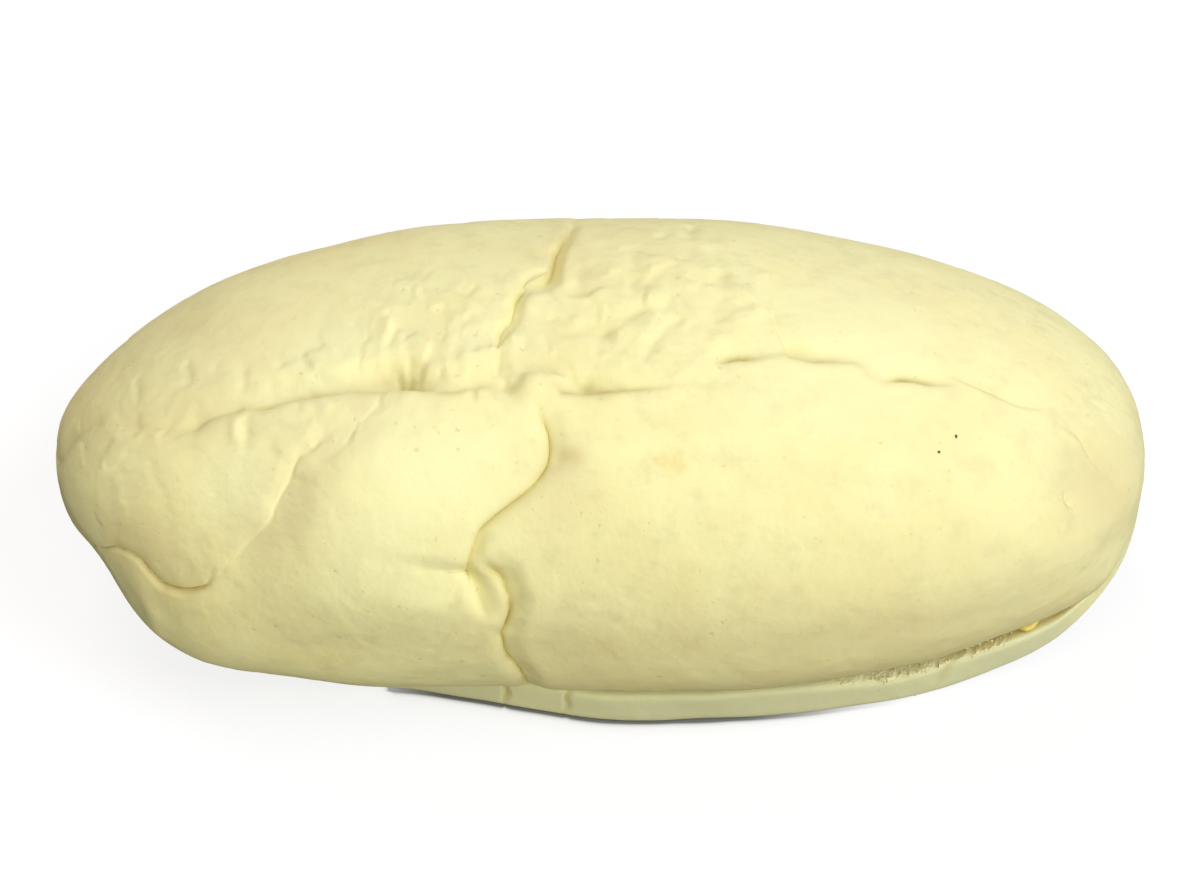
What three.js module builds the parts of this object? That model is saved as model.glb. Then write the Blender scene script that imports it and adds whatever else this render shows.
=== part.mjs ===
// Cream-filled bread roll: a soft, pale, oval milk roll that is slit low along its front,
// with a layer of custard cream lying in the slit. The skin is folded and creased.
// Millimetres, +Z up, +X along the roll, the slit opens towards -Y, and the origin is
// under the middle of the roll, on the surface that it rests on.
import * as THREE from 'three';

// Driving sizes of the roll
const LENGTH = 130;
const HEIGHT = 41.8;
const FRONT_REACH = 27.4; // from the long axis to the front of the bulge
const BACK_REACH = 32; // from the long axis to the back of the bulge
const BULGE_HEIGHT = 18.9; // level at which the roll is widest
const TIP_HEIGHT = 17.9; // level of the two end tips
const TIP_SETBACK = 2.8; // how far the tips lie behind the long axis
const SOLE_PRESS = 0.6; // how much of the round underside is pressed flat

// Roundness of each outline as a superellipse exponent, at the left and the right end.
// 2 is an ellipse, and a larger number is boxier.
const TOP_ROUND = { left: 2.1, right: 1.95 };
const FRONT_ROUND = { left: 2.5, right: 2.35 };
const BACK_ROUND = { left: 2, right: 2.3 };
const SOLE_ROUND = { left: 2.6, right: 3.9 };
const SECTION_ROUND = { upper: 2.25, lowerFront: 3, lowerBack: 2.8 };

// Slit, and the heel of bread under it
const SLIT_DROP = 0.7; // level of the slit, as a share of the way from the bulge to the sole
const SLIT_BACK = 0.38; // how far the slit runs behind the axis, as a share of the back reach
const SLIT_GAP = 0.35; // the mouth where it is shut
const SLIT_GAPE = 0.7; // how much more it opens near the right end
const GAPE_SPAN = { from: 24, full: 35, ease: 50, to: 57 };
const SLIT_SPAN = { from: -53, full: -44, ease: 54, to: 61 };
const SLIT_ROOF_RISE = 2.2; // the slit swells round the cream: upwards
const SLIT_FLOOR_DROP = 1.4; // and downwards
const NOTCH_DEPTH = 0.8; // shallow groove that carries on where the slit has run out
const NOTCH_SQUEEZE = 0.4; // how far each wall of that groove closes in, as a share of its gap
const HEEL_TUCK = 3.3; // the heel hides this far behind the lip at the left
const HEEL_REACH = 0.8; // and stands this far in front of it at the right
const HEEL_STEP = { from: -24, to: 6 };
const HEEL_EDGE = 2; // depth of the rounding of the heel's face
const HEEL_SQUARE = 4; // superellipse exponent of that rounding

// Cream layer, a flat tongue inside the slit
const CREAM_CLEARANCE = 0.3;
const CREAM_SPAN = { from: -42, to: 53.5 };
const CREAM_MOUTH_SETBACK = 5; // how far the cream stays back from the lip
const CREAM_DAB = { x: 51, spread: 3, reach: 5.2 }; // where it creeps forward to the mouth
const CREAM_BACK_SETBACK = 1.5;
const CREAM_BLUNT = 6; // exponent of the rounding of its two ends

// Folds of the skin. Each is a line through a few places on the dome, given as the distance
// along the roll and the angle round it (0 is the front, 90 the top, 180 the back). The skin to
// the left of the line, seen from outside along the way it runs, stands up in a quick round
// edge; on its right the skin dips under that edge and comes back slowly.
const FOLDS = [
  { // long fold on the crown, left end
    at: [
      [-8, 74], [-11.8, 75], [-17, 73], [-22, 76], [-29, 75], [-40, 72], [-52, 70.5], [-60, 75], [-64, 62],
    ],
    depth: 1.1, edge: 1.6, dip: 6, fade: [2, 9],
  },
  { // its middle
    at: [[17, 77], [10, 75], [4, 73], [-1, 72], [-5, 72], [-8, 74]],
    depth: 1, edge: 1.6, dip: 5, fade: [5, 2],
  },
  { // its right end, a little further back
    at: [
      [57, 71], [52, 77], [45, 80.5], [39, 80], [34, 80],
      [31, 82], [28.4, 87], [21.4, 85], [16, 83], [12.5, 81],
    ],
    depth: 0.9, edge: 1.6, dip: 5, fade: [9, 3],
  },
  { // fold from the crown over to the back
    at: [
      [-10, 75], [-11.8, 82], [-11.4, 89], [-10.4, 97], [-8.5, 104],
      [-6.2, 109], [-5, 121], [-4, 136], [-3.4, 152],
    ],
    depth: 1.3, edge: 2, dip: 7, fade: [3, 30],
  },
  { // the deep fold down the front
    at: [
      [-12.7, 11], [-14.3, 20], [-15.5, 27], [-15.2, 31], [-14.1, 38],
      [-11.2, 44], [-7.3, 52], [-6.5, 58], [-6.6, 64], [-7.8, 72],
    ],
    depth: 2, edge: 2.6, dip: 10, fade: [7, 4],
  },
  { // the fold that takes over from it and runs down to the slit
    at: [
      [-6.5, -40], [-8.3, -29], [-9.7, -20], [-11.2, -8], [-11.8, 1],
      [-11.2, 8], [-10.9, 16], [-11.8, 24], [-13.2, 32],
    ],
    depth: 1.7, edge: 2.4, dip: 8, fade: [4, 8],
  },
  { // short fold across the front, over a plump mound
    at: [[-15, 27], [-19, 29], [-23.4, 31.5]],
    depth: 0.9, edge: 2, dip: 4, fade: [2, 4],
  },
  { // soft slanting fold, lower stretch
    at: [[-44, 8], [-43.1, 16], [-41.6, 27], [-38.8, 41], [-36, 54], [-31.7, 66]],
    depth: 1.3, edge: 4, dip: 9, fade: [8, 6],
  },
  { // soft slanting fold, upper stretch
    at: [[-32.6, 54], [-29.9, 61], [-26.5, 70], [-22.5, 76]],
    depth: 0.9, edge: 2.2, dip: 6, fade: [5, 3],
  },
  { // tuck under the left end
    at: [
      [-62.6, -20], [-60.2, -2], [-57.6, 10], [-55.3, 14], [-53.6, 9],
      [-52.4, 4], [-50.8, 3], [-48.5, 6], [-46.1, 13], [-44.6, 22],
    ],
    depth: 2.2, edge: 2.4, dip: 9, fade: [7, 5],
  },
  { // short crease behind the crown
    at: [[22, 85], [20.3, 93], [19.4, 101]],
    depth: 0.5, edge: 1.2, dip: 4, fade: [2, 4],
  },
];

// Broad swellings (height above the even form, mm) and hollows (below it), each fading out
// round a place on the dome given as above, over a radius. The slit follows these.
const SWELLS = [
  { at: [-46, -14], height: 3, radius: 11 }, // cheek under the tuck
  { at: [-61, -12], height: -4.6, radius: 8 }, // pinched left end
  { at: [-64.5, 100], height: 0.3, radius: 5 },
  { at: [-30, -25], height: 0.8, radius: 8 },
  { at: [58.5, -6], height: 0.6, radius: 6 },
];

// Small bumps and dimples of the skin alone, given in the same way
const DIMPLES = [
  { at: [-13, -25], height: -1.1, radius: 6 },
  { at: [38, -32], height: -0.8, radius: 8 }, // lip lifted where the slit gapes
  { at: [-18.6, 22], height: 0.7, radius: 4 }, // plump mound
  { at: [-8, 74], height: 0.6, radius: 2.2 }, // knot where the folds meet
  { at: [-22.5, 80], height: -0.7, radius: 2.4 },
  { at: [14.4, 83.5], height: -0.6, radius: 1.6 },
  { at: [34.6, 81.5], height: -0.5, radius: 1.6 },
  { at: [-4.8, 55], height: -0.5, radius: 2.4 },
];

// Fineness of the surfaces
const RING_STEP = 2.3; // spacing of the rings along the roll
const RING_STEP_FOLDED = 1.3; // and over the folded left half
const FOLDED_SPAN = { from: -62, full: -56, ease: -4, to: 5 };
const TIP_SHARE = 0.45; // no step covers more than this share of the way left to a tip
const TIP_STEP = 0.06; // and the last ring is at least this far from it
const DOME_STEPS = { lip: 7, front: 24, crown: 9, back: 7 };
const SOLE_STEPS = 3;
const HEEL_STEPS = 5;
const SLIT_STEPS = 6;
const CREAM_RINGS = 44;
const CREAM_STEPS = 7;
const FOLD_SAMPLE = 1.5; // spacing of the points that stand for a fold line
const FOLD_PULL = 0.7; // how strongly the surface's points gather along a fold
const FOLD_PULL_RADIUS = 3;

const HALF_LENGTH = LENGTH / 2;
const LOWER_AT_MIDDLE = BULGE_HEIGHT + SOLE_PRESS;
const LIP_ANGLE = -Math.atan2(SLIT_DROP, superellipse(SLIT_DROP, SECTION_ROUND.lowerFront));
const FRONT_ANGLE = 0;
const CROWN_ANGLE = THREE.MathUtils.degToRad(80);
const BACK_ANGLE = THREE.MathUtils.degToRad(140);
const SOLE_ANGLE = THREE.MathUtils.degToRad(245);

const { lerp, smoothstep, degToRad } = THREE.MathUtils;

// Height of a unit superellipse over the point t of its base, from 1 in the middle to 0 at the ends
function superellipse(t, exponent) {
  return Math.pow(Math.max(0, 1 - Math.pow(Math.abs(t), exponent)), 1 / exponent);
}

function taper(t, round) {
  return superellipse(t, t < 0 ? round.left : round.right);
}

// Rises from 0 to 1 between span.from and span.full and falls again between span.ease and span.to
function plateau(x, span) {
  return smoothstep(x, span.from, span.full) * (1 - smoothstep(x, span.ease, span.to));
}

// The sizes of the section at t, which runs from -1 at the left tip to 1 at the right tip
function stationAt(t) {
  const front = taper(t, FRONT_ROUND);
  const back = taper(t, BACK_ROUND);
  const middle = (front + back) / 2;
  const level = lerp(TIP_HEIGHT, BULGE_HEIGHT, middle);
  const top = lerp(TIP_HEIGHT, HEIGHT, taper(t, TOP_ROUND));
  const sole = lerp(TIP_HEIGHT, -SOLE_PRESS, taper(t, SOLE_ROUND));
  return {
    x: HALF_LENGTH * t,
    axis: TIP_SETBACK * (1 - middle),
    level,
    front: FRONT_REACH * front,
    back: BACK_REACH * back,
    upper: top - level,
    lower: level - sole,
  };
}

// A point of the smooth dome: four quarter superellipses of different size that meet at
// the front, the top, the back and the sole, pressed flat where they would pass the floor
function domePoint(t, angle) {
  const s = stationAt(t);
  const across = Math.cos(angle);
  const along = Math.sin(angle);
  let exponent = SECTION_ROUND.upper;
  if (along < 0) exponent = across > 0 ? SECTION_ROUND.lowerFront : SECTION_ROUND.lowerBack;
  const sum = Math.pow(Math.abs(across), exponent) + Math.pow(Math.abs(along), exponent);
  const radius = Math.pow(sum, -1 / exponent);
  const y = s.axis - (across > 0 ? s.front : s.back) * radius * across;
  const z = s.level + (along > 0 ? s.upper : s.lower) * radius * along;
  return new THREE.Vector3(s.x, y, Math.max(z, 0));
}

// Outward normal of the smooth dome, from two short chords
function domeNormal(t, angle) {
  const step = 1e-4;
  const along = domePoint(t + step, angle).sub(domePoint(t - step, angle));
  const round = domePoint(t, angle + step).sub(domePoint(t, angle - step));
  return round.cross(along).normalize().negate();
}

function onDome([x, degrees]) {
  return domePoint(x / HALF_LENGTH, degToRad(degrees));
}

// A fold line as a chain of evenly spaced points, with the distance run at each
function traceFold(fold) {
  const curve = new THREE.CatmullRomCurve3(fold.at.map(onDome), false, 'centripetal');
  const length = curve.getLength();
  const points = curve.getSpacedPoints(Math.ceil(length / FOLD_SAMPLE));
  return { ...fold, points, length };
}

const foldLines = FOLDS.map(traceFold);
const swells = SWELLS.map((swell) => ({ ...swell, centre: onDome(swell.at) }));
const dimples = DIMPLES.map((dimple) => ({ ...dimple, centre: onDome(dimple.at) }));

// The nearest place on a fold line to p: where it is, the distance run and the way it runs
function nearestOnFold(fold, p) {
  const step = fold.length / (fold.points.length - 1);
  const segment = new THREE.Line3();
  const foot = new THREE.Vector3();
  const best = { gap: Infinity, foot: new THREE.Vector3(), run: 0, way: new THREE.Vector3() };
  for (let i = 0; i + 1 < fold.points.length; i += 1) {
    segment.set(fold.points[i], fold.points[i + 1]);
    const part = segment.closestPointToPointParameter(p, true);
    segment.at(part, foot);
    const gap = foot.distanceTo(p);
    if (gap < best.gap) {
      best.gap = gap;
      best.foot.copy(foot);
      best.run = (i + part) * step;
      segment.delta(best.way).normalize();
    }
  }
  return best;
}

// Depth of a fold across its line, as a share: a quick smooth edge on the raised side,
// where the distance is positive, and a slow smooth rise on the other side
function foldProfile(distance, fold) {
  return 1 - smoothstep(Math.abs(distance), 0, distance > 0 ? fold.edge : fold.dip);
}

// Height at p of a set of swellings, each a bell round its centre
function bellHeight(bells, p) {
  const bell = ({ height, radius, centre }) => height * Math.exp(-((p.distanceTo(centre) / radius) ** 2));
  return bells.reduce((sum, one) => sum + bell(one), 0);
}

// A point of the body: the smooth dome with its broad swellings
function bodyPoint(t, angle) {
  const p = domePoint(t, angle);
  return p.addScaledVector(domeNormal(t, angle), bellHeight(swells, p));
}

// A point of the finished skin: the body with its folds and dimples
function skinPoint(t, angle) {
  const p = domePoint(t, angle);
  const normal = domeNormal(t, angle);
  const pull = new THREE.Vector3();
  let height = bellHeight(swells, p) + bellHeight(dimples, p);
  for (const fold of foldLines) {
    const near = nearestOnFold(fold, p);
    if (near.gap > fold.dip) continue;
    const started = smoothstep(near.run, 0, fold.fade[0]);
    const strength = started * smoothstep(fold.length - near.run, 0, fold.fade[1]);
    const gather = FOLD_PULL * strength * Math.exp(-((near.gap / FOLD_PULL_RADIUS) ** 2));
    const raisedSide = normal.clone().cross(near.way);
    const offset = p.clone().sub(near.foot);
    const side = Math.sign(offset.dot(raisedSide));
    pull.addScaledVector(offset, -gather);
    height -= fold.depth * strength * foldProfile(side * near.gap * (1 - gather), fold);
  }
  p.add(pull).addScaledVector(normal, height);
  p.z = Math.max(p.z, 0);
  return p;
}

// The slit at t: its lip, the face of the heel under it, and how far open it is
function slitAt(t) {
  const s = stationAt(t);
  const lip = bodyPoint(t, LIP_ANGLE);
  const scale = s.lower / LOWER_AT_MIDDLE;
  const gap = scale * (SLIT_GAP + SLIT_GAPE * plateau(s.x, GAPE_SPAN));
  const reach = lerp(-HEEL_TUCK, HEEL_REACH, smoothstep(s.x, HEEL_STEP.from, HEEL_STEP.to));
  const face = lip.y - scale * reach * taper(t, FRONT_ROUND);
  return {
    x: s.x,
    scale,
    gap,
    lip,
    face,
    heelTop: lip.z - gap,
    heelFoot: Math.max(s.level - s.lower, 0),
    heelBack: face + HEEL_EDGE * scale * taper(t, FRONT_ROUND),
    end: s.axis + SLIT_BACK * s.back,
    open: plateau(s.x, SLIT_SPAN),
  };
}

// How much the slit swells at a share of the way in: nothing at the mouth and at the end
function slitSwell(share) {
  return (1 - (1 - share) ** 2) * (1 - share ** 4);
}

function slitRoof(slit, share) {
  const run = lerp(NOTCH_DEPTH * slit.scale, slit.end - slit.lip.y, slit.open);
  const squeeze = (1 - slit.open) * NOTCH_SQUEEZE * slit.gap * share;
  const rise = slit.open * SLIT_ROOF_RISE * slit.scale * slitSwell(share);
  return new THREE.Vector3(slit.x, slit.lip.y + share * run, slit.lip.z + rise - squeeze);
}

function slitFloor(slit, share) {
  const run = lerp(NOTCH_DEPTH * slit.scale, slit.end - slit.heelBack, slit.open);
  const squeeze = (1 - slit.open) * NOTCH_SQUEEZE * slit.gap * share;
  const drop = slit.open * SLIT_FLOOR_DROP * slit.scale * slitSwell(share);
  return new THREE.Vector3(slit.x, slit.heelBack + share * run, slit.heelTop - drop + squeeze);
}

// The heel's face, from its foot (-1) to its top (1): flat, with both edges rounded over
function heelFace(slit, share) {
  const middle = (slit.heelTop + slit.heelFoot) / 2;
  const half = (slit.heelTop - slit.heelFoot) / 2;
  const depth = slit.heelBack - slit.face;
  const y = slit.heelBack - depth * superellipse(share, HEEL_SQUARE);
  return new THREE.Vector3(slit.x, y, middle + half * share);
}

// Values from start to end, both included, in a number of even steps
function evenSteps(start, end, steps) {
  return Array.from({ length: steps + 1 }, (_, i) => lerp(start, end, i / steps));
}

// One closed section of the bread: slit roof, dome, sole, face of the heel, slit floor
function breadSection(t) {
  const slit = slitAt(t);
  const angles = [
    ...evenSteps(LIP_ANGLE, FRONT_ANGLE, DOME_STEPS.lip),
    ...evenSteps(FRONT_ANGLE, CROWN_ANGLE, DOME_STEPS.front).slice(1),
    ...evenSteps(CROWN_ANGLE, BACK_ANGLE, DOME_STEPS.crown).slice(1),
    ...evenSteps(BACK_ANGLE, SOLE_ANGLE, DOME_STEPS.back).slice(1),
  ];
  const roof = evenSteps(1, 0, SLIT_STEPS).slice(0, -1).map((share) => slitRoof(slit, share));
  const dome = angles.map((angle) => skinPoint(t, angle));
  const heel = evenSteps(-Math.PI / 2, Math.PI / 2, HEEL_STEPS)
    .map((angle) => heelFace(slit, Math.sin(angle)));
  const soleEnds = [dome[dome.length - 1], heel[0]];
  const sole = evenSteps(0, 1, SOLE_STEPS).slice(1, -1)
    .map((share) => soleEnds[0].clone().lerp(soleEnds[1], share));
  const floor = evenSteps(0, 1, SLIT_STEPS).slice(1).map((share) => slitFloor(slit, share));
  return [...roof, ...dome, ...sole, ...heel, ...floor];
}

// One closed section of the cream: the slit's own roof and floor, a clearance inside them
function creamSection(share) {
  const x = lerp(CREAM_SPAN.from, CREAM_SPAN.to, (1 - Math.cos(Math.PI * share)) / 2);
  const slit = slitAt(x / HALF_LENGTH);
  const width = Math.sqrt(Math.max(0, 1 - (2 * share - 1) ** CREAM_BLUNT));
  const creep = CREAM_DAB.reach * Math.exp(-(((x - CREAM_DAB.x) / CREAM_DAB.spread) ** 2));
  const mouth = (CREAM_MOUTH_SETBACK - creep) / (slit.end - slit.lip.y);
  const back = 1 - CREAM_BACK_SETBACK / (slit.end - slit.lip.y);
  const middle = (mouth + back) / 2;
  const places = evenSteps(lerp(middle, mouth, width), lerp(middle, back, width), CREAM_STEPS);
  const roof = places.map((place) => slitRoof(slit, place));
  const floor = roof.map((p) => slitFloor(slit, (p.y - slit.heelBack) / (slit.end - slit.heelBack)));
  roof.forEach((p) => p.setZ(p.z - CREAM_CLEARANCE));
  floor.forEach((p) => p.setZ(p.z + CREAM_CLEARANCE));
  return [...roof, ...floor.reverse()];
}

// The two triangles of a four-cornered patch, cut along its shorter diagonal
function splitQuad(points, a, b, c, d) {
  const acrossAC = points[a].distanceTo(points[c]);
  const acrossBD = points[b].distanceTo(points[d]);
  return acrossAC < acrossBD ? [a, b, c, a, c, d] : [a, b, d, b, c, d];
}

// A closed skin over sections of equal count, run to a point at each end
function loft(sections, firstTip, lastTip) {
  const count = sections[0].length;
  const points = [...sections.flat(), firstTip, lastTip];
  const first = points.length - 2;
  const last = points.length - 1;
  const faces = [];
  for (let j = 0; j < count; j += 1) {
    const next = (j + 1) % count;
    faces.push(first, j, next);
    for (let i = 0; i + 1 < sections.length; i += 1) {
      const here = i * count;
      faces.push(...splitQuad(points, here + j, here + count + j, here + count + next, here + next));
    }
    const end = (sections.length - 1) * count;
    faces.push(last, end + next, end + j);
  }
  const geometry = new THREE.BufferGeometry().setFromPoints(points);
  geometry.setIndex(faces);
  geometry.computeVertexNormals();
  return geometry;
}

// Ring places from the middle out to one tip (way is -1 or 1): closer over the deep folds,
// and closer and closer towards the tip, where the roll closes fast
function ringsTowards(way) {
  const places = [];
  let toTip = HALF_LENGTH;
  while (toTip > TIP_STEP) {
    const x = way * (HALF_LENGTH - toTip);
    places.push(x / HALF_LENGTH);
    const step = lerp(RING_STEP, RING_STEP_FOLDED, plateau(x, FOLDED_SPAN));
    toTip -= Math.min(step, TIP_SHARE * toTip);
  }
  return places;
}

function makeBread() {
  const places = [...ringsTowards(-1).reverse(), ...ringsTowards(1).slice(1)];
  const sections = places.map(breadSection);
  const leftTip = new THREE.Vector3(-HALF_LENGTH, TIP_SETBACK, TIP_HEIGHT);
  const rightTip = new THREE.Vector3(HALF_LENGTH, TIP_SETBACK, TIP_HEIGHT);
  const skin = new THREE.MeshStandardMaterial({ color: 0xf2e6b0, roughness: 0.75, metalness: 0 });
  const bread = new THREE.Mesh(loft(sections, leftTip, rightTip), skin);
  bread.name = 'bread_roll';
  return bread;
}

function makeCream() {
  const sections = evenSteps(0, 1, CREAM_RINGS + 1).slice(1, -1).map(creamSection);
  const centre = (ring) => ring.reduce((sum, p) => sum.add(p), new THREE.Vector3())
    .divideScalar(ring.length);
  const tips = [centre(sections[0]), centre(sections[sections.length - 1])];
  tips[0].x = CREAM_SPAN.from;
  tips[1].x = CREAM_SPAN.to;
  const custard = new THREE.MeshStandardMaterial({ color: 0xe8d04a, roughness: 0.4, metalness: 0 });
  const cream = new THREE.Mesh(loft(sections, tips[0], tips[1]), custard);
  cream.name = 'cream_filling';
  return cream;
}

const roll = new THREE.Group();
roll.add(makeBread(), makeCream());

// The middle of the whole roll goes over the origin, and its sole onto the surface
const extent = new THREE.Box3().setFromObject(roll);
const middle = extent.getCenter(new THREE.Vector3());
roll.position.set(-middle.x, -middle.y, -extent.min.z);

export default roll;
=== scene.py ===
# %% [markdown]
# # A cream-filled milk roll
# This lesson gives a soft bread roll its looks. The real roll is pale, hardly baked at all, and its
# skin is folded and puckered like the skin of a fruit. A slit runs low along its front, with a
# layer of custard cream in it. The plain solids come from the frame, and every size here is theirs.

# %% Load the frame
import math
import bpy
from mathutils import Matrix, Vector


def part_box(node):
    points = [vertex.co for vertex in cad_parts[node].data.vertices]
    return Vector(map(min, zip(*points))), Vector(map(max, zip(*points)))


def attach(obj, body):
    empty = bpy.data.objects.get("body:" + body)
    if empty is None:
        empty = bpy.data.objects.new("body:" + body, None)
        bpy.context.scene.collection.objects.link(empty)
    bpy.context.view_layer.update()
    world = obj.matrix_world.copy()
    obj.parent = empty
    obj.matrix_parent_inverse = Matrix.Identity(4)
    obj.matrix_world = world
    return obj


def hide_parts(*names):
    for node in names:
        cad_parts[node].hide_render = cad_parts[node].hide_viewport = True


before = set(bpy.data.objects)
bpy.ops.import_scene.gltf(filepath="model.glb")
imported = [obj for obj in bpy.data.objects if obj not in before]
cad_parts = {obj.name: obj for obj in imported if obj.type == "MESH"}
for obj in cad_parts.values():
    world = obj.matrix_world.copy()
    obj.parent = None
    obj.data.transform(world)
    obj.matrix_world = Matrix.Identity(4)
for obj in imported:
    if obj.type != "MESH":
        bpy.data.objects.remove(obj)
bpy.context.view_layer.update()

from types import SimpleNamespace

import bpy
import numpy as np
from mathutils import Vector

MM = 0.001
scene = bpy.context.scene

# %% [markdown]
# ## Camera
# The roll is seen from the front and well from above. A long lens from nearly half a metre keeps both
# ends the same size, as a close-up of food usually does. One point of the roll is known in the
# picture. Turning the camera could put it there, but would tilt the view, so the lens is shifted.

# %% Camera
PHOTO_WIDTH, PHOTO_HEIGHT = 1200, 895
CAMERA_ELEVATION = math.radians(50)
CAMERA_DISTANCE = 0.45
CAMERA_LENS = 113.7
AIM = Vector((0, -2.3 * MM, 20 * MM))
AIM_PIXEL = (601.2, 454.9)


def add_camera():
    """A camera that looks along +Y and down on AIM, shifted so that AIM falls on AIM_PIXEL."""
    data = bpy.data.cameras.new("camera")
    data.lens = CAMERA_LENS
    data.shift_x = (PHOTO_WIDTH / 2 - AIM_PIXEL[0]) / PHOTO_WIDTH
    data.shift_y = (AIM_PIXEL[1] - PHOTO_HEIGHT / 2) / PHOTO_WIDTH
    data.clip_start, data.clip_end = 0.01, 20
    camera = bpy.data.objects.new("camera", data)
    back = Vector((0, -math.cos(CAMERA_ELEVATION), math.sin(CAMERA_ELEVATION)))
    camera.location = AIM + back * CAMERA_DISTANCE
    camera.rotation_euler = back.to_track_quat("Z", "Y").to_euler()
    scene.collection.objects.link(camera)
    scene.camera = camera
    return camera


camera = add_camera()
print("camera at, m:", [round(v, 3) for v in camera.location])

# %% [markdown]
# ## Light and backdrop
# Pale food is easily burnt out, so the light is plain: three broad soft lights, a cool one from the
# right, one low at the front and one from behind, and a little warm light from the room above. The
# backdrop only shows: it is left out of the light that falls on the roll, so that the roll's own
# tones stay easy to set. The Standard view keeps the pale yellows as they are, where a film-like
# view would grey them.

# %% Light
SOFT_LIGHTS = {  # degrees round from the front to the right, degrees up, strength, colour
    "side_light": (75, 45, 1.95, (0.78, 0.83, 1.0)),
    "front_light": (15, 20, 1.5, (1.0, 1.0, 0.91)),
    "back_light": (-150, 45, 1.2, (0.91, 0.90, 1.0)),
}
LIGHT_SPREAD = math.radians(40)
ROOM_ABOVE = (0.285, 0.25, 0.175, 1)
ROOM_BELOW = (0.03, 0.025, 0.02, 1)
HORIZON_SOFT = 0.2


def add_light(name, around, up, strength, colour):
    """A broad distant light, placed by its angles round the roll, so that the whole roll and the
    floor get it alike."""
    data = bpy.data.lights.new(name, "SUN")
    data.angle = LIGHT_SPREAD
    data.energy = strength
    data.color = colour
    light = bpy.data.objects.new(name, data)
    around, up = math.radians(around), math.radians(up)
    flat = math.cos(up)
    way = Vector((flat * math.sin(around), -flat * math.cos(around), math.sin(up)))
    light.location = AIM + way
    light.rotation_euler = way.to_track_quat("Z", "Y").to_euler()
    scene.collection.objects.link(light)


def set_room():
    """Room light that depends on height alone: one tone above the horizon and one below it."""
    world = bpy.data.worlds.new("room")
    world.use_nodes = True
    tree = world.node_tree
    place = tree.nodes.new("ShaderNodeTexCoord")
    split = tree.nodes.new("ShaderNodeSeparateXYZ")
    rise = tree.nodes.new("ShaderNodeMapRange")
    rise.inputs["From Min"].default_value = -HORIZON_SOFT
    rise.inputs["From Max"].default_value = HORIZON_SOFT
    tones = tree.nodes.new("ShaderNodeMix")
    tones.data_type = "RGBA"
    tones.inputs[6].default_value = ROOM_BELOW
    tones.inputs[7].default_value = ROOM_ABOVE
    tree.links.new(place.outputs["Generated"], split.inputs["Vector"])
    tree.links.new(split.outputs["Z"], rise.inputs["Value"])
    tree.links.new(rise.outputs["Result"], tones.inputs["Factor"])
    tree.links.new(tones.outputs[2], tree.nodes["Background"].inputs["Color"])
    scene.world = world


for name, settings in SOFT_LIGHTS.items():
    add_light(name, *settings)
set_room()
scene.view_settings.view_transform = "Standard"
print("soft lights:", ", ".join(SOFT_LIGHTS))

# %% Backdrop
STAGE_RADIUS = 3.0
STAGE_STEPS = 48
BACKDROP_GLOW = 0.98


def new_piece(name, points, faces):
    """An object with a mesh of those points, in metres, and faces."""
    mesh = bpy.data.meshes.new(name)
    mesh.from_pydata(points.tolist(), [], faces)
    piece = bpy.data.objects.new(name, mesh)
    scene.collection.objects.link(piece)
    return piece


def loop_faces(loops, count):
    """Four-cornered faces between neighbouring closed loops of count points each."""
    index = np.arange(loops * count).reshape(loops, count)
    after = np.roll(index, -1, axis=1)
    return np.stack([index[:-1], index[1:], after[1:], after[:-1]], axis=-1).reshape(-1, 4).tolist()


def new_material(name, settings):
    """A node material, its tree and its main shader, with sockets of the shader set by name."""
    material = bpy.data.materials.new(name)
    material.use_nodes = True
    shader = material.node_tree.nodes["Principled BSDF"]
    for socket, value in settings.items():
        shader.inputs[socket].default_value = value
    return material, material.node_tree, shader


def stage_piece(name, points, faces, colour, glow):
    """A piece of the stage: a white surface with a glow of its own, which the camera sees and which
    takes shadows, but which throws no light on the roll and none of its own shadow."""
    piece = new_piece(name, points, faces)
    settings = {
        "Base Color": colour, "Roughness": 1.0, "Specular IOR Level": 0.0,
        "Emission Color": (1, 1, 1, 1), "Emission Strength": glow,
    }
    piece.data.materials.append(new_material(name, settings)[0])
    piece.visible_diffuse = False
    piece.visible_glossy = False
    piece.visible_transmission = False
    piece.visible_shadow = False
    return piece


def add_backdrop():
    """A white wall like a drum round the roll."""
    turn = np.linspace(0, 2 * math.pi, STAGE_STEPS, endpoint=False)
    rim = STAGE_RADIUS * np.stack([np.cos(turn), np.sin(turn), 0 * turn], axis=1)
    wall = np.vstack([rim, rim + (0, 0, STAGE_RADIUS)])
    stage_piece("backdrop", wall, loop_faces(2, STAGE_STEPS), (0, 0, 0, 1), BACKDROP_GLOW)


add_backdrop()
print("backdrop is", 2 * STAGE_RADIUS, "m wide")

# %% [markdown]
# ## The even form of the roll
# A roll like this is proved in a mould and comes out as an egg-like oval: boxier at the sole, where
# it sat, and rounder on top. One formula gives the whole body. Its outline from above, from the
# side and at the sole are superellipses, which run from an ellipse (2) to a box (large numbers),
# and so is each quarter of its cross-section. A smoothed box could come close too, but a formula
# can be asked for any point and its normal, which the folds need. Lengths are in millimetres here,
# and the mesh is scaled to metres at the end.

# %% Sizes of the roll
HALF_LENGTH = 65.0
HEIGHT = 41.8
FRONT_REACH, BACK_REACH = 27.4, 32.0
BULGE_HEIGHT = 18.9
TIP_HEIGHT = 17.9
TIP_SETBACK = 2.8
SOLE_PRESS = 0.6
TOP_ROUND = (2.1, 1.95)  # left end, right end
FRONT_ROUND = (2.5, 2.35)
BACK_ROUND = (2.0, 2.3)
SOLE_ROUND = (2.6, 3.9)
UPPER_ROUND, LOWER_FRONT_ROUND, LOWER_BACK_ROUND = 2.25, 3.0, 2.8
AXIS_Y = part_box("bread_roll")[1].y / MM - BACK_REACH
print("the long axis lies at y =", round(AXIS_Y, 2), "mm")


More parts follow.
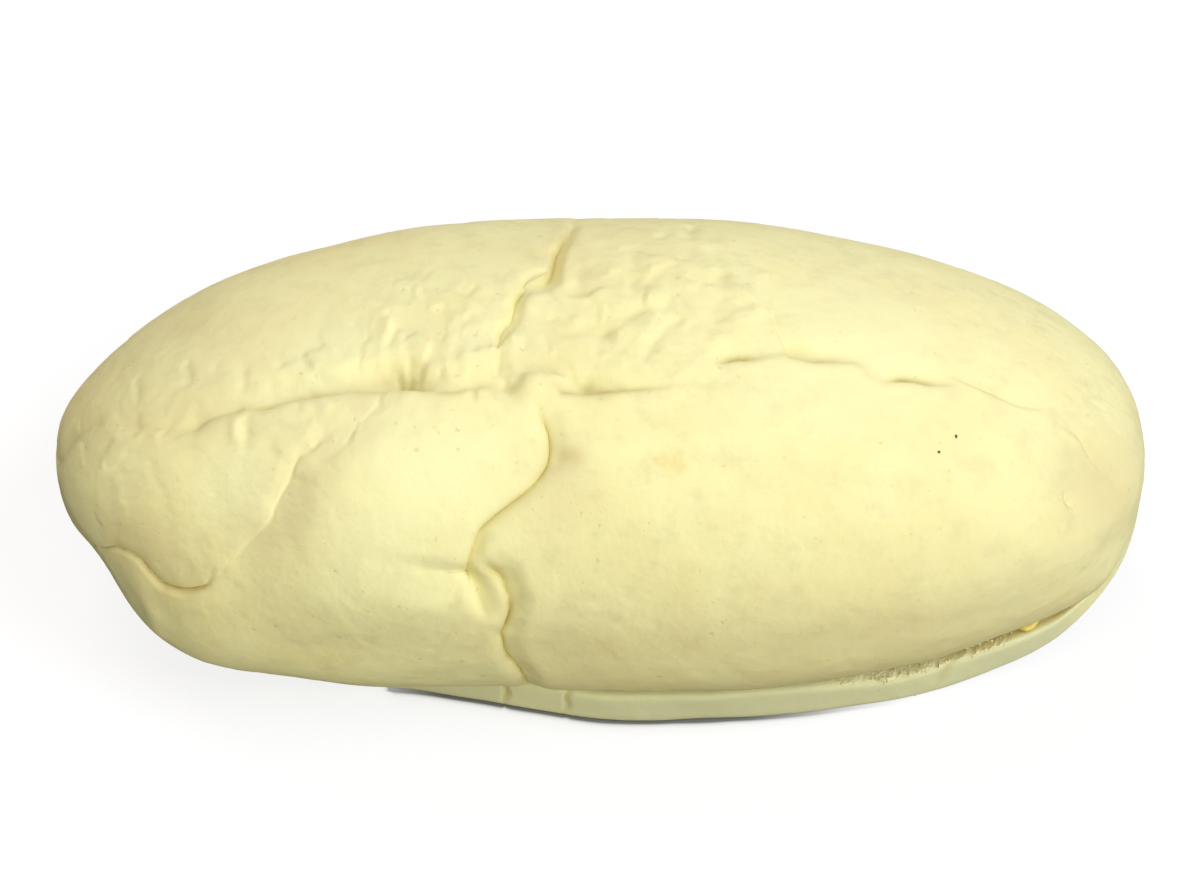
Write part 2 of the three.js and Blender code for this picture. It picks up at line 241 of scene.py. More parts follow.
# %% Helpers for smooth steps and tapers
def blend(a, b, share):
    """a where share is 0, b where it is 1, and in proportion between."""
    return a + (b - a) * share


def smoothstep(x, low, high):
    """0 below low, 1 above high, and an S-shaped rise 3s^2 - 2s^3 between them."""
    s = np.clip((x - low) / (high - low), 0, 1)
    return s * s * (3 - 2 * s)


def plateau(x, start, full, ease, end):
    """Rises from 0 at start to 1 at full, and falls again from ease to 0 at end."""
    return smoothstep(x, start, full) * (1 - smoothstep(x, ease, end))


def superellipse(t, power):
    """Height over t of |t|^power + h^power = 1: 1 in the middle and 0 at both ends."""
    return np.maximum(0, 1 - np.abs(t) ** power) ** (1 / power)


def taper(t, rounds):
    """A superellipse along the roll, with one power for the left end and one for the right."""
    return np.where(t < 0, superellipse(t, rounds[0]), superellipse(t, rounds[1]))


def unit(v):
    """Vectors scaled to length 1."""
    return v / (np.linalg.norm(v, axis=-1, keepdims=True) + 1e-12)


print("half way out, an ellipse keeps", round(float(superellipse(0.5, 2)), 2), "of its height")

# %% Dome of the roll
def station(t):
    """Sizes of the cross-section at t, from -1 at the left tip to 1 at the right: each is a
    full size in the middle of the roll times its own taper."""
    front, back = taper(t, FRONT_ROUND), taper(t, BACK_ROUND)
    middle = (front + back) / 2
    level = blend(TIP_HEIGHT, BULGE_HEIGHT, middle)
    top = blend(TIP_HEIGHT, HEIGHT, taper(t, TOP_ROUND))
    sole = blend(TIP_HEIGHT, -SOLE_PRESS, taper(t, SOLE_ROUND))
    return SimpleNamespace(
        x=HALF_LENGTH * t, axis=AXIS_Y + TIP_SETBACK * (1 - middle), level=level,
        front=FRONT_REACH * front, back=BACK_REACH * back, upper=top - level, lower=level - sole,
        front_taper=front,
    )


def dome(t, angle):
    """Points of the even form. The angle runs round the section: 0 is the front, 90 degrees the
    top, 180 the back. In each quarter the distance from the axis is that of a superellipse,
    stretched to the section's sizes, and what would pass the floor is pressed flat."""
    s = station(t)
    across, rise = np.cos(angle), np.sin(angle)
    lower = np.where(across > 0, LOWER_FRONT_ROUND, LOWER_BACK_ROUND)
    power = np.where(rise > 0, UPPER_ROUND, lower)
    radius = (np.abs(across) ** power + np.abs(rise) ** power) ** (-1 / power)
    y = s.axis - np.where(across > 0, s.front, s.back) * radius * across
    z = s.level + np.where(rise > 0, s.upper, s.lower) * radius * rise
    return np.stack([s.x + 0 * y, y, np.maximum(z, 0)], axis=-1)


def dome_normal(t, angle, step=1e-4):
    """Outward normal: the cross product of a short chord along the roll and one round it."""
    along = dome(t + step, angle) - dome(t - step, angle)
    around = dome(t, angle + step) - dome(t, angle - step)
    return unit(np.cross(along, around))


def on_dome(places):
    """Points of the even form at places given as (mm along the roll, degrees round it)."""
    places = np.asarray(places, float)
    return dome(places[..., 0] / HALF_LENGTH, np.radians(places[..., 1]))


print("highest point, mm:", on_dome([0, 90]).round(2))

# %% [markdown]
# ## Noise
# Nothing on bread is even, so several steps below need random unevenness that is the same at each
# run. A texture could move the points later, but here folds and noise work together on each point,
# so the noise is made in Python. Two kinds are enough. Smooth lumps come from random values on a
# cubic lattice, blended between its corners. Patches with borders come from random seeds on the same
# lattice: each point belongs to the nearest seed, as in a dried and cracked skin.

# %% Lattice noise
LATTICE = 48
rng = np.random.default_rng(5)
lattice_values = rng.uniform(-1, 1, (LATTICE, LATTICE, LATTICE))
lattice_seeds = rng.uniform(0.1, 0.9, (LATTICE, LATTICE, LATTICE, 3))
lattice_slants = rng.normal(0, 1, (LATTICE, LATTICE, LATTICE, 3))
CORNERS = np.array(np.meshgrid([0, 1], [0, 1], [0, 1], indexing="ij")).reshape(3, -1).T
NEIGHBOURS = np.array(np.meshgrid([-1, 0, 1], [-1, 0, 1], [-1, 0, 1], indexing="ij")).reshape(3, -1).T


def lumps(points, size):
    """Smooth noise from -1 to 1: random values on a cubic lattice of that size, blended by
    S-shaped weights between the eight corners of each cell."""
    place = points / size + LATTICE
    cell = np.floor(place).astype(int)
    s = place - cell
    s = s * s * (3 - 2 * s)
    total = np.zeros(len(points))
    for corner in CORNERS:
        weight = np.where(corner, s, 1 - s).prod(axis=1)
        total += weight * lattice_values[tuple(((cell + corner) % LATTICE).T)]
    return total


def patches(points, size):
    """Irregular patches round seeds scattered on a lattice of that size. Returns how far inside its
    patch each point is, d2 - d1 with the distances to the two nearest seeds, and the height of the
    patch if it lies at a random slant of its own, the dot product of slant and offset."""
    place = points / size + LATTICE
    cell = np.floor(place).astype(int)
    distance = np.empty((len(NEIGHBOURS), len(points)))
    height = np.empty_like(distance)
    for k, step in enumerate(NEIGHBOURS):
        corner = tuple(((cell + step) % LATTICE).T)
        toward = place - (cell + step) - lattice_seeds[corner]
        distance[k] = np.linalg.norm(toward, axis=1)
        height[k] = (toward * lattice_slants[corner]).sum(axis=1)
    nearest = np.partition(distance, 1, axis=0)[:2]
    own = np.take_along_axis(height, distance.argmin(axis=0)[None], axis=0)[0]
    return (nearest[1] - nearest[0]) * size, own * size


print("lattice of", LATTICE**3, "random values")

# %% [markdown]
# ## Folds of the skin
# When such a roll cools, its thin skin is too large for the crumb and lies in folds. Each fold is a
# line drawn on the form through a few places, with a strength at each place, because no fold is
# alike all along. On its left, seen from outside along the way it runs, the skin stands up in a
# round edge that may lap over the line; on its right it dips under that edge and comes back slowly.
# Sculpting could do this too, but lines with a cross-section stay exact, can be moved by one
# number, and bring the mesh lines close together where they matter.

# %% Fold lines
def fold(places, depth, edge, dip, sharp=1.0, far=1.0, lap=0.0, crack=0.0, shade=0.0):
    """One fold: places along it (mm along the roll, degrees round it, strength), depth of its foot,
    width of the raised edge and of the dip, how sharply the edge turns down (0 soft, 1 round), the
    share of the depth that the far side dips too, how far the edge laps over, depth of the crack at
    its foot, and how much painted shade darkens the skin to a deeper yellow along its line."""
    return SimpleNamespace(
        places=np.array(places, float), depth=depth, edge=edge, dip=dip, sharp=sharp, far=far,
        lap=lap, crack=crack, shade=shade)


FOLDS = {
    "crown_left": fold(
        [(-9.5, 73.5, 0), (-12.9, 74.8, 0.4), (-16.9, 72.7, 0.5), (-20, 74.3, 0.8), (-21.9, 75.5, 1.2),
         (-24.4, 75.8, 1.2), (-29.2, 74.9, 0.9), (-35.1, 74, 0.6), (-38.7, 71.8, 0.6), (-40.9, 72.1, 0.4),
         (-44.9, 70, 0.4), (-47.2, 66.7, 0.3), (-51.4, 67.8, 0.2), (-56.2, 71.4, 0.2), (-58, 73, 0)],
        depth=1.1, edge=1.6, dip=4.5, crack=0.2, shade=0.4),
    "left_tip": fold(
        [(-57, 73, 0), (-60.1, 74.8, 0.8), (-62.1, 71.5, 1), (-63.4, 60, 1), (-64.5, 48, 0.8),
         (-64.8, 38, 0)],
        depth=0.4, edge=2.2, dip=3.5, sharp=0.3, shade=0.1),
    "crown_middle": fold(
        [(16.9, 79.5, 0), (15.5, 76, 0.1), (8.3, 74.6, 0.2), (5, 73.7, 0.5), (1.3, 72.8, 0.9),
         (-1.6, 72.2, 1.1), (-3.4, 72.6, 0.6), (-4.6, 73.3, 0.2), (-5.6, 74.5, 0)],
        depth=0.9, edge=1.6, dip=3.5, lap=0.2, crack=0.2, shade=0.6),
    "above_knot": fold(
        [(-3.5, 77.2, 0), (-5.2, 78, 0.8), (-7, 78.4, 1), (-9.2, 77.7, 0.4), (-10.2, 77, 0)],
        depth=0.5, edge=0.8, dip=3),
    "crown_right": fold(
        [(40.5, 79, 0), (39.5, 79.6, 0.3), (38, 80.6, 0.6), (36.2, 81.5, 0.8), (34, 81.5, 1),
         (32.4, 79.8, 0.3), (30.7, 81.5, 0.25), (29.9, 84.8, 0.4), (27.3, 85.6, 0.8), (23.9, 85.2, 1.1),
         (22.2, 85.8, 0.9), (19, 84.4, 0.15), (16.6, 84, 0.7), (15.4, 84.2, 1), (14.2, 83.1, 0.8),
         (12.5, 82, 0)],
        depth=1.0, edge=1.4, dip=3.5, crack=0.2, shade=0.5),
    "right_branch": fold(
        [(52.5, 79, 0), (48.8, 77.4, 0.9), (47, 78.6, 1), (44.5, 80.9, 1), (40.6, 84.9, 0.8), (40.8, 92, 0)],
        depth=0.35, edge=1.0, dip=3, crack=0.12, shade=0.1),
    "behind_crown": fold(
        [(22.6, 85, 0), (22.2, 86.4, 1), (20.3, 93.6, 1), (19.4, 101.7, 0.6), (18.4, 110, 0)],
        depth=0.45, edge=1.0, dip=3.5, crack=0.12, shade=0.1),
    "crown_to_back": fold(
        [(-11.8, 77.5, 0), (-11.8, 80, 0.5), (-11.8, 86.3, 0.7), (-11.5, 90.7, 0.9), (-10.6, 93.9, 1),
         (-10.3, 98, 1), (-10, 101.2, 1), (-9.2, 103.3, 0.8), (-7.7, 104.1, 0.6), (-6.6, 104.6, 0.7),
         (-6, 106.4, 1), (-6, 111.4, 1.1), (-5.4, 116.9, 1), (-4.5, 123.7, 0.9), (-3.9, 131.8, 0.6),
         (-3.5, 142, 0.2), (-3.2, 152, 0)],
        depth=0.9, edge=1.0, dip=1.8, crack=0.12, shade=0.3),
    "back_flap": fold(
        [(-6.8, 110.8, 0), (-7.7, 108.8, 0.9), (-8.9, 106.4, 1), (-9.9, 104, 0)],
        depth=0.45, edge=0.7, dip=1.3, crack=0.2, shade=0.1),
    "deep_front": fold(
        [(-15.8, 25, 0), (-15.6, 27.5, 0.8), (-15.2, 31, 1), (-14.1, 38, 1), (-11.2, 44, 1), (-7.2, 52, 1),
         (-6.4, 58, 0.8), (-6.6, 64, 0.5), (-7.6, 69, 0.1), (-8, 72, 0)],
        depth=1.5, edge=2.6, dip=2.6, far=0.7, lap=0.8, crack=0.5, shade=0.85),
    "mound_side": fold(
        [(-13.4, 10, 0), (-14.4, 17, 0.8), (-15, 22.9, 1), (-15.6, 27, 1), (-15.8, 30, 0)],
        depth=1.4, edge=1.2, dip=2.6, shade=0.15),
    "front_to_slit": fold(
        [(-8, -44, 0.5), (-9, -29, 0.7), (-9.9, -20, 0.8), (-11.2, -8, 0.75), (-11.6, 1, 0.75),
         (-10.8, 8, 1), (-10.4, 16, 1.1), (-11.2, 24, 1), (-12.8, 31, 0)],
        depth=1.6, edge=1.8, dip=3, far=0.7, lap=0.4, crack=0.5, shade=0.85),
    "over_mound": fold(
        [(-14.8, 25, 0.5), (-15.8, 26.5, 1), (-18.1, 27.2, 1), (-20.4, 27.4, 0.8), (-22.5, 28.6, 0.5),
         (-26.5, 30, 0)],
        depth=0.7, edge=5, dip=2.2, sharp=0.2),
    "slant_low": fold(
        [(-41.8, 25, 0.2), (-40.6, 30, 0.6), (-38.6, 36, 0.9), (-37, 42, 1), (-36, 47, 1), (-35.1, 51, 1),
         (-34.3, 55, 1), (-33.1, 59, 0.8), (-31.6, 62.5, 0.6), (-30, 65.5, 0.4), (-28.5, 70, 0)],
        depth=1.0, edge=1.8, dip=6, sharp=0.7),
    "slant_high": fold(
        [(-32.2, 52.5, 0), (-31, 54.6, 0.8), (-29.3, 56.9, 0.9), (-28.3, 60.6, 1), (-25.9, 67.4, 0.9),
         (-24.8, 72.2, 0.5), (-23.6, 75, 0)],
        depth=0.5, edge=1.3, dip=4, sharp=0.6),
    "left_tuck": fold(
        [(-61.5, -12, 0.1), (-58.6, 6.3, 0.35), (-56.8, 14, 0.5), (-55.2, 17.7, 0.7), (-52.8, 17.6, 0.8),
         (-51.1, 13.4, 1), (-50, 11, 1.2), (-48.3, 11.4, 1.2), (-46.3, 12.6, 1), (-44.9, 15.6, 0.5),
         (-43.8, 20.5, 0.15), (-43.5, 25, 0)],
        depth=0.9, edge=1.7, dip=2, far=0.1, lap=0.25, crack=0.6, shade=0.25),
    "right_line": fold(
        [(55.2, 35.5, 0), (54.9, 37, 1), (53.7, 44, 0.8), (53.5, 46, 0)], depth=0.25, edge=0.8, dip=2),
    "right_curve": fold(
        [(61.5, 40, 0), (60.5, 46, 0.6), (58, 57, 1), (56.5, 66, 0.8), (53, 79, 0)],
        depth=0.6, edge=2, dip=4, sharp=0.4),
}
CURVE_STEPS = 24
LINE_SPACING = 0.6
DEGREE_ARC = 0.5
TREMBLE, TREMBLE_SIZE = 0.35, 2.6
UNEVEN, UNEVEN_SIZE = 0.35, 6.0
GAPS, GAP_SIZE, GAP_SPAN = 0.5, 2.4, (-0.6, 0.3)


def smooth_rows(knots):
    """Rows along a curve through the knots. Each stretch is a cubic whose end slopes come from the
    neighbouring knots, weighted by the square roots of their distances in the first two columns."""
    chain = np.vstack([2 * knots[0] - knots[1], knots, 2 * knots[-1] - knots[-2]])
    gap = np.sqrt(np.linalg.norm(np.diff(chain[:, :2], axis=0), axis=1))[:, None]
    g0, g1, g2 = gap[:-2], gap[1:-1], gap[2:]
    p0, p1, p2, p3 = chain[:-3], chain[1:-2], chain[2:-1], chain[3:]
    slope_in = g1 * ((p1 - p0) / g0 - (p2 - p0) / (g0 + g1) + (p2 - p1) / g1)
    slope_out = g1 * ((p2 - p1) / g1 - (p3 - p1) / (g1 + g2) + (p3 - p2) / g2)
    u = np.linspace(0, 1, CURVE_STEPS, endpoint=False)[:, None]
    hermite = [2 * u**3 - 3 * u**2 + 1, u**3 - 2 * u**2 + u, 3 * u**2 - 2 * u**3, u**3 - u**2]
    parts = [h[:, None] * p for h, p in zip(hermite, (p1, slope_in, p2, slope_out))]
    return np.vstack([sum(parts).transpose(1, 0, 2).reshape(-1, 3), knots[-1:]])


def draw_line(item):
    """The fold's line as a chain of points on the form, evenly spaced, with its strength at each.
    Noise makes the line tremble, its strength come and go, and the crack along it break up."""
    rows = smooth_rows(item.places * (1, DEGREE_ARC, 1))
    flat = np.column_stack([rows[:, :2], 0 * rows[:, 0]])
    shake = np.stack([lumps(flat + seed, TREMBLE_SIZE) for seed in (3.3, 71.7)], axis=1)
    rows[:, :2] += TREMBLE * shake
    curve = on_dome(rows[:, :2] / (1, DEGREE_ARC))
    run = np.concatenate([[0], np.cumsum(np.linalg.norm(np.diff(curve, axis=0), axis=1))])
    even = np.linspace(0, run[-1], int(run[-1] / LINE_SPACING) + 2)
    item.line = np.stack([np.interp(even, run, curve[:, k]) for k in range(3)], axis=1)
    item.run = even
    strength = np.interp(even, run, np.maximum(rows[:, 2], 0))
    item.strength = strength * (1 + UNEVEN * lumps(item.line + 17, UNEVEN_SIZE))
    item.open = item.strength * blend(1, smoothstep(lumps(item.line + 5, GAP_SIZE), *GAP_SPAN), GAPS)


def nearest_on_line(points, line):
    """For each point, its offset from the nearest place on the chain, how many links along that is
    and which way the chain runs there: a foot is dropped on every link and the closest is kept."""
    start, link = line[:-1], np.diff(line, axis=0)
    length = np.linalg.norm(link, axis=1)
    toward = points[:, None] - start
    share = np.clip((toward * link).sum(-1) / length**2, 0, 1)
    offset = toward - share[..., None] * link
    best = (offset**2).sum(-1).argmin(axis=1)
    row = np.arange(len(points))
    return offset[row, best], best + share[row, best], link[best] / length[best, None]


for item in FOLDS.values():
    draw_line(item)
print(len(FOLDS), "folds,", round(sum(item.run[-1] for item in FOLDS.values())), "mm in all")

# %% Cross-section of a fold
PULL = 0.75
PULL_RADIUS = 2.6
CRACK_WIDTH = 0.27
# width of the painted shade that darkens the skin along a crease
SHADE_WIDTH = 0.65


def fold_drop(distance, item):
    """Share of the depth at a signed distance. On the raised side a quarter round,
    1 - sqrt(1 - (1 - d/edge)^2), or an S-shaped fall for a soft edge; on the other side a slow
    S-shaped rise."""
    shoulder = 1 - np.clip(distance / item.edge, 0, 1)
    round_edge = 1 - np.sqrt(np.maximum(0, 1 - shoulder**2))
    raised = blend(smoothstep(shoulder, 0, 1), round_edge, item.sharp)
    dipped = item.far * (1 - smoothstep(-distance, 0, item.dip))
    return np.where(distance > 0, raised, dipped)


def fold_lap(distance, item):
    """How far the raised edge leans over the line: nothing at its foot and at its end, and the
    whole lap a quarter of the way between, as sin(pi sqrt(d/edge))."""
    s = np.clip(distance / item.edge, 0, 1)
    return item.lap * np.sin(np.pi * np.sqrt(s))


def apply_folds(points, normals):
    """Shift of each point, and the painted shade of its crease from 0 to 1. Near a fold the points
    are first drawn together along its line; then they drop along the normal and lean over by the
    fold's section."""
    shift = np.zeros_like(points)
    shade = np.zeros(len(points))
    for item in FOLDS.values():
        reach = max(item.dip, item.edge) + 1
        low, high = item.line.min(axis=0) - reach, item.line.max(axis=0) + reach
        near = np.flatnonzero(((points > low) & (points < high)).all(axis=1))
        offset, link, way = nearest_on_line(points[near], item.line)
        gap = np.linalg.norm(offset, axis=1)
        steps = np.arange(len(item.strength))
        strength, opened = np.interp(link, steps, item.strength), np.interp(link, steps, item.open)
        raised = np.cross(normals[near], way)
        side = np.sign((offset * raised).sum(axis=1))
        gather = PULL * np.minimum(strength, 1) * np.exp(-((gap / PULL_RADIUS) ** 2))
        distance = side * gap * (1 - gather)
        crack = item.crack * opened * np.exp(-((distance / CRACK_WIDTH) ** 2))
        drop = item.depth * strength * fold_drop(distance, item) + crack
        lean = fold_lap(distance, item) * strength
        shift[near] -= gather[:, None] * offset + lean[:, None] * raised
        shift[near] -= drop[:, None] * normals[near]
        # painted shade: the skin along the fold's line is darkened, as shade falls in the crease
        shade[near] += item.shade * opened * np.exp(-((distance / SHADE_WIDTH) ** 2))
    return shift, np.minimum(shade, 1)


FRONT = FOLDS["deep_front"]
print("half way down its edge, the front fold has", fold_drop(FRONT.edge / 2, FRONT).round(2), "of its depth")

# %% [markdown]
# ## Swellings, dimples and puckers
# Broad swellings make the cheek and the pinched left end. Small bumps and pits sit where folds
# meet. Between the folds the skin is puckered and lies in small flakes like dried paint, most along
# the crown. The borders between scattered patches give the puckers, and a slant of each patch's own
# gives the flakes. A sculpting brush would do much the same by hand. Here each bump is a bell with
# a place, a height and a radius, so that it can be found and changed again.

# %% Swellings, dimples and pits
SWELLS = [  # (mm along, degrees round), height, radius
    ((-46, -14), 3.0, 11), ((-60, -35), -1.7, 6), ((-64.5, 100), 0.3, 5), ((-30, -25), 0.8, 8),
    ((-56, 125), -0.9, 10), ((59.5, -35), 0.6, 5), ((46, -40), -0.6, 9), ((29, 122), -0.7, 11),
    ((-10, 122), -0.5, 9),
]
DIMPLES = [
    ((-13, -25), -0.5, 6), ((-31, 49), 1.4, 9), ((-21, 47), 1.5, 9),
    ((-33, 20), 1.2, 9), ((-24, 20), 0.8, 7),
    ((-19.5, 19.5), 0.6, 4), ((-7.6, 73.6), 0.8, 2.1), ((-22.2, 79), -0.9, 2.6),
    ((-25.5, 78.5), -0.9, 3), ((-1.8, 77.2), -0.6, 2.5), ((-46.4, 67.8), -0.3, 1.6), ((-5.5, -8), -0.5, 5),
    ((55.5, 47), -1.1, 5.5),
]
NICKS = [  # start, end, height (less than 0 for a dent), width
    ((3.7, 112), (3.6, 105), -0.3, 0.9), ((-1.9, 110), (-2.2, 102), -0.2, 0.7),
    ((8.2, 93.6), (5.8, 87), -0.25, 0.8), ((5.6, 86), (4.5, 82), -0.15, 0.4),
    ((16.2, 100), (16.8, 99), -0.3, 0.7), ((13.2, 118), (13.9, 108), -0.25, 0.9),
    ((13.9, 108), (13.8, 101), -0.25, 0.9), ((3.1, 95.4), (7.6, 98.8), -0.25, 0.9),
    ((7, 123.8), (7.7, 126), -0.25, 0.6), ((10.3, 124), (10.8, 132), -0.35, 0.7),
    ((-23.7, 93), (-24.4, 88.5), -0.25, 0.5), ((-24.5, 95), (-24.9, 89.5), 0.2, 0.8),
    ((-16.4, 84.1), (-19.5, 82.2), -0.18, 0.6), ((16.1, 104.7), (17.8, 98.8), 0.25, 0.8),
    ((5.1, 102.5), (5.6, 99.2), 0.2, 1.2), ((-14.9, 84.4), (-12.5, 86.5), 0.25, 1.4),
    ((-54.3, 91.8), (-53.7, 82), -0.15, 0.4), ((-48, 91.8), (-47.6, 84.2), -0.18, 0.5),
    ((-41.2, 84.9), (-41, 80.2), -0.2, 0.6), ((-37.8, 80), (-37.7, 77), -0.2, 0.5),
    ((-41.8, 67.1), (-41.5, 63), 0.2, 0.6), ((-40.5, 68), (-40.2, 60), -0.2, 0.6),
    ((44.8, 92), (44.5, 83), -0.15, 0.9), ((53.2, 69.4), (55.6, 64.7), 0.25, 0.8),
    ((55.6, 64.7), (58, 54.4), 0.25, 0.8), ((-21.6, 75.8), (-21.8, 84), -0.3, 0.45),
    ((-23.4, 75.6), (-23, 81), -0.28, 0.4), ((-20.4, 75), (-20.5, 82), -0.22, 0.4),
    ((-53.2, 3), (-51.2, -6), 0.3, 1.5), ((-51.2, -6), (-50.8, -20), 0.25, 1.5),
]
PITS = [  # places of small dark pits, depth, radius
    ((-3.6, 55.5), 0.5, 1.0), ((0.7, 90.2), 0.5, 0.9), ((-10.6, 73.6), 0.5, 0.9), ((-1.7, 76.2), 0.6, 0.8),
    ((14.6, 83.6), 0.6, 0.8), ((16, 84), 0.6, 0.8), ((34.6, 81.5), 0.7, 0.9), ((37, 81), 0.3, 0.8),
    ((-22, 77.2), 0.5, 0.9), ((-23.3, 77), 0.4, 0.8), ((-2.8, 102.5), 0.3, 1.0), ((21.9, 85.8), 0.4, 0.8),
    ((-4.5, 72.8), 0.4, 0.8),
]
# painted shade in the pits, for each millimetre of their depth
PIT_SHADE = 0.45


def bells(points, rows):
    """Sum of bells, height * exp(-(distance / radius)^2), round places on the even form."""
    total = np.zeros(points.shape[:-1])
    for place, height, radius in rows:
        square = ((points - on_dome(place)) ** 2).sum(axis=-1)
        total += height * np.exp(-square / radius**2)
    return total


def strokes(points, rows):
    """Sum of long bells, height * exp(-(distance / width)^2), along straight strokes between two
    places: the nearest place on the stroke is the foot of the plumb line, kept between its ends."""
    total = np.zeros(len(points))
    for start, end, height, width in rows:
        start, end = on_dome(start), on_dome(end)
        way = end - start
        share = np.clip((points - start) @ way / (way @ way), 0, 1)
        square = ((points - start - share[:, None] * way) ** 2).sum(axis=1)
        total += height * np.exp(-square / width**2)
    return total


print(len(SWELLS), "swellings,", len(DIMPLES), "dimples,", len(NICKS), "nicks,", len(PITS), "pits")

# %% Puckers and flakes
PUCKER_PLACES = [  # where the skin is puckered: place, strength, radius
    ((-18, 87), 0.8, 9), ((-17, 97), 0.5, 9), ((0, 91), 0.8, 9), ((6, 101), 0.8, 10), ((-34, 74), 0.5, 8),
    ((-52, 72), 0.5, 8), ((-31, 66), 0.5, 6), ((57, 66), 0.5, 8), ((20, 96), 0.4, 9), ((-14, 76), 0.5, 5),
]
PUCKER_LEAST = 0.15
COARSE_PATCH, COARSE_CREASE, COARSE_WIDTH, COARSE_SLANT = 5.0, 0.04, 0.8, 0.04
FINE_PATCH, FINE_CREASE, FINE_WIDTH, FINE_SLANT = 2.3, 0.03, 0.5, 0.05
BROAD_LUMP, BROAD_HEIGHT = 17.0, 0.38
SMALL_LUMP, SMALL_HEIGHT = 5.5, 0.12
BEND, BEND_SIZE = 1.8, 4.0
RAGGED, RAGGED_SIZE = 0.35, 1.1
BREAK_SIZE, BREAK_SPAN = 7.0, (-0.35, 0.45)


def skin_relief(points):
    """Height of the unevenness: broad and small noise, plus the slants of coarse and fine patches,
    less the creases along their borders, broken up by noise so that they come and go."""
    bent = points + BEND * np.stack([lumps(points + k, BEND_SIZE) for k in (11, 47, 83)], axis=1)
    bent += RAGGED * np.stack([lumps(points + k, RAGGED_SIZE) for k in (19, 59, 97)], axis=1)
    where = np.clip(PUCKER_LEAST + bells(points, PUCKER_PLACES), 0, 1)
    broken = smoothstep(lumps(points + 29, BREAK_SIZE), *BREAK_SPAN)
    inside, coarse = patches(bent, COARSE_PATCH)
    crease = COARSE_CREASE * np.exp(-((inside / COARSE_WIDTH) ** 2))
    inside, fine = patches(bent + 31, FINE_PATCH)
    crease += FINE_CREASE * np.exp(-((inside / FINE_WIDTH) ** 2))
    flakes = COARSE_SLANT * coarse + FINE_SLANT * fine
    noise_height = BROAD_HEIGHT * lumps(points, BROAD_LUMP) + SMALL_HEIGHT * lumps(points, SMALL_LUMP)
    return noise_height + where * (flakes - broken * crease)


print(len(PUCKER_PLACES), "puckered places")

# %% [markdown]
# ## The slit and the heel
# The slit is cut low along the front, just under the bulge. Below it lies the heel, a slab of bread
# with a smooth upright face. The slit is almost shut, gapes a little near the right end, and swells
# inside round the cream. A boolean cut would leave ragged faces in so thin a gap, so the walls are
# drawn as part of the surface: straight lines from the mouth to the slit's end, bowed apart by a
# formula that leaves both ends closed.

# %% Slit sizes
LIP_ANGLE = -math.atan2(0.7, float(superellipse(0.7, LOWER_FRONT_ROUND)))
SLIT_BACK = 0.38
SLIT_GAP, SLIT_GAPE = 0.2, 1.0
GAPE_SPAN = (24, 35, 53, 58)
SLIT_SPAN = (-53, -44, 54, 61)
ROOF_RISE, FLOOR_DROP = 2.2, 1.4
NOTCH_DEPTH, NOTCH_SQUEEZE = 0.8, 0.4
HEEL_TUCK, HEEL_REACH = 3.3, 0.9
HEEL_STEP = (-26, 4)
HEEL_EDGE, HEEL_SQUARE = 2.0, 6
LEFT_DROP, LEFT_DROP_SPAN = math.radians(32), (-58, -44)
RIGHT_DROP, RIGHT_DROP_SPAN = math.radians(4), (51, 61)
MERGE_SPAN = (54, 61)
MERGED_GAP, MERGED_EDGE = 0.1, 0.05
print("lip at", round(math.degrees(LIP_ANGLE), 1), "degrees")


# %% Slit form
def lip_angle(t):
    """Angle of the lip: the same all along, but dropping towards the sole at both ends, where the
    slit is shut and the skin goes further down."""
    x = HALF_LENGTH * t
    left = LEFT_DROP * (1 - smoothstep(x, *LEFT_DROP_SPAN))
    return LIP_ANGLE - left - RIGHT_DROP * smoothstep(x, *RIGHT_DROP_SPAN)


def slit_at(t):
    """Sizes of the slit at t: its lip on the swollen body, the heel's face and edges, its inner
    end and how far open it is. At the right end the heel's top comes level with the skin."""
    s = station(t)
    lip = dome(t, lip_angle(t))
    lip = lip + dome_normal(t, lip_angle(t)) * bells(lip, SWELLS)[..., None]
    scale = s.lower / (BULGE_HEIGHT + SOLE_PRESS)
    merged = smoothstep(s.x, *MERGE_SPAN)
    gap = scale * (SLIT_GAP * (1 + MERGED_GAP - merged) + SLIT_GAPE * plateau(s.x, *GAPE_SPAN))
    reach = blend(-HEEL_TUCK, HEEL_REACH, smoothstep(s.x, *HEEL_STEP)) * (1 - merged)
    face = lip[..., 1] - scale * reach * s.front_taper
    edge = HEEL_EDGE * scale * s.front_taper
    return SimpleNamespace(
        x=s.x, scale=scale, gap=gap, lip_y=lip[..., 1], lip_z=lip[..., 2], face=face,
        heel_top=lip[..., 2] - gap, heel_foot=np.maximum(s.level - s.lower, 0),
        heel_back=face + edge * (1 + MERGED_EDGE - merged), foot_back=face + edge,
        end=s.axis + SLIT_BACK * s.back, open=plateau(s.x, *SLIT_SPAN),
    )


def slit_wall(slit, share, mouth_y, mouth_z, bow):
    """A wall of the slit from its mouth (0) to its end (1): a straight run inwards, with a bow of
    (1 - (1 - s)^2)(1 - s^4), up or down. Where the slit is shut, a short notch stays, which narrows."""
    run = blend(NOTCH_DEPTH * slit.scale, slit.end - mouth_y, slit.open)
    squeeze = (1 - slit.open) * NOTCH_SQUEEZE * slit.gap * share
    swell = (1 - (1 - share) ** 2) * (1 - share**4)
    rise = slit.open * abs(bow) * slit.scale * swell
    y = mouth_y + share * run
    return np.stack([slit.x + 0 * y, y, mouth_z + np.sign(bow) * (rise - squeeze)], axis=-1)


def slit_roof(slit, share):
    """Roof of the slit, from the lip inwards."""
    return slit_wall(slit, share, slit.lip_y, slit.lip_z, ROOF_RISE)


def slit_floor(slit, share):
    """Floor of the slit, from the heel's upper edge inwards."""
    return slit_wall(slit, share, slit.heel_back, slit.heel_top, -FLOOR_DROP)


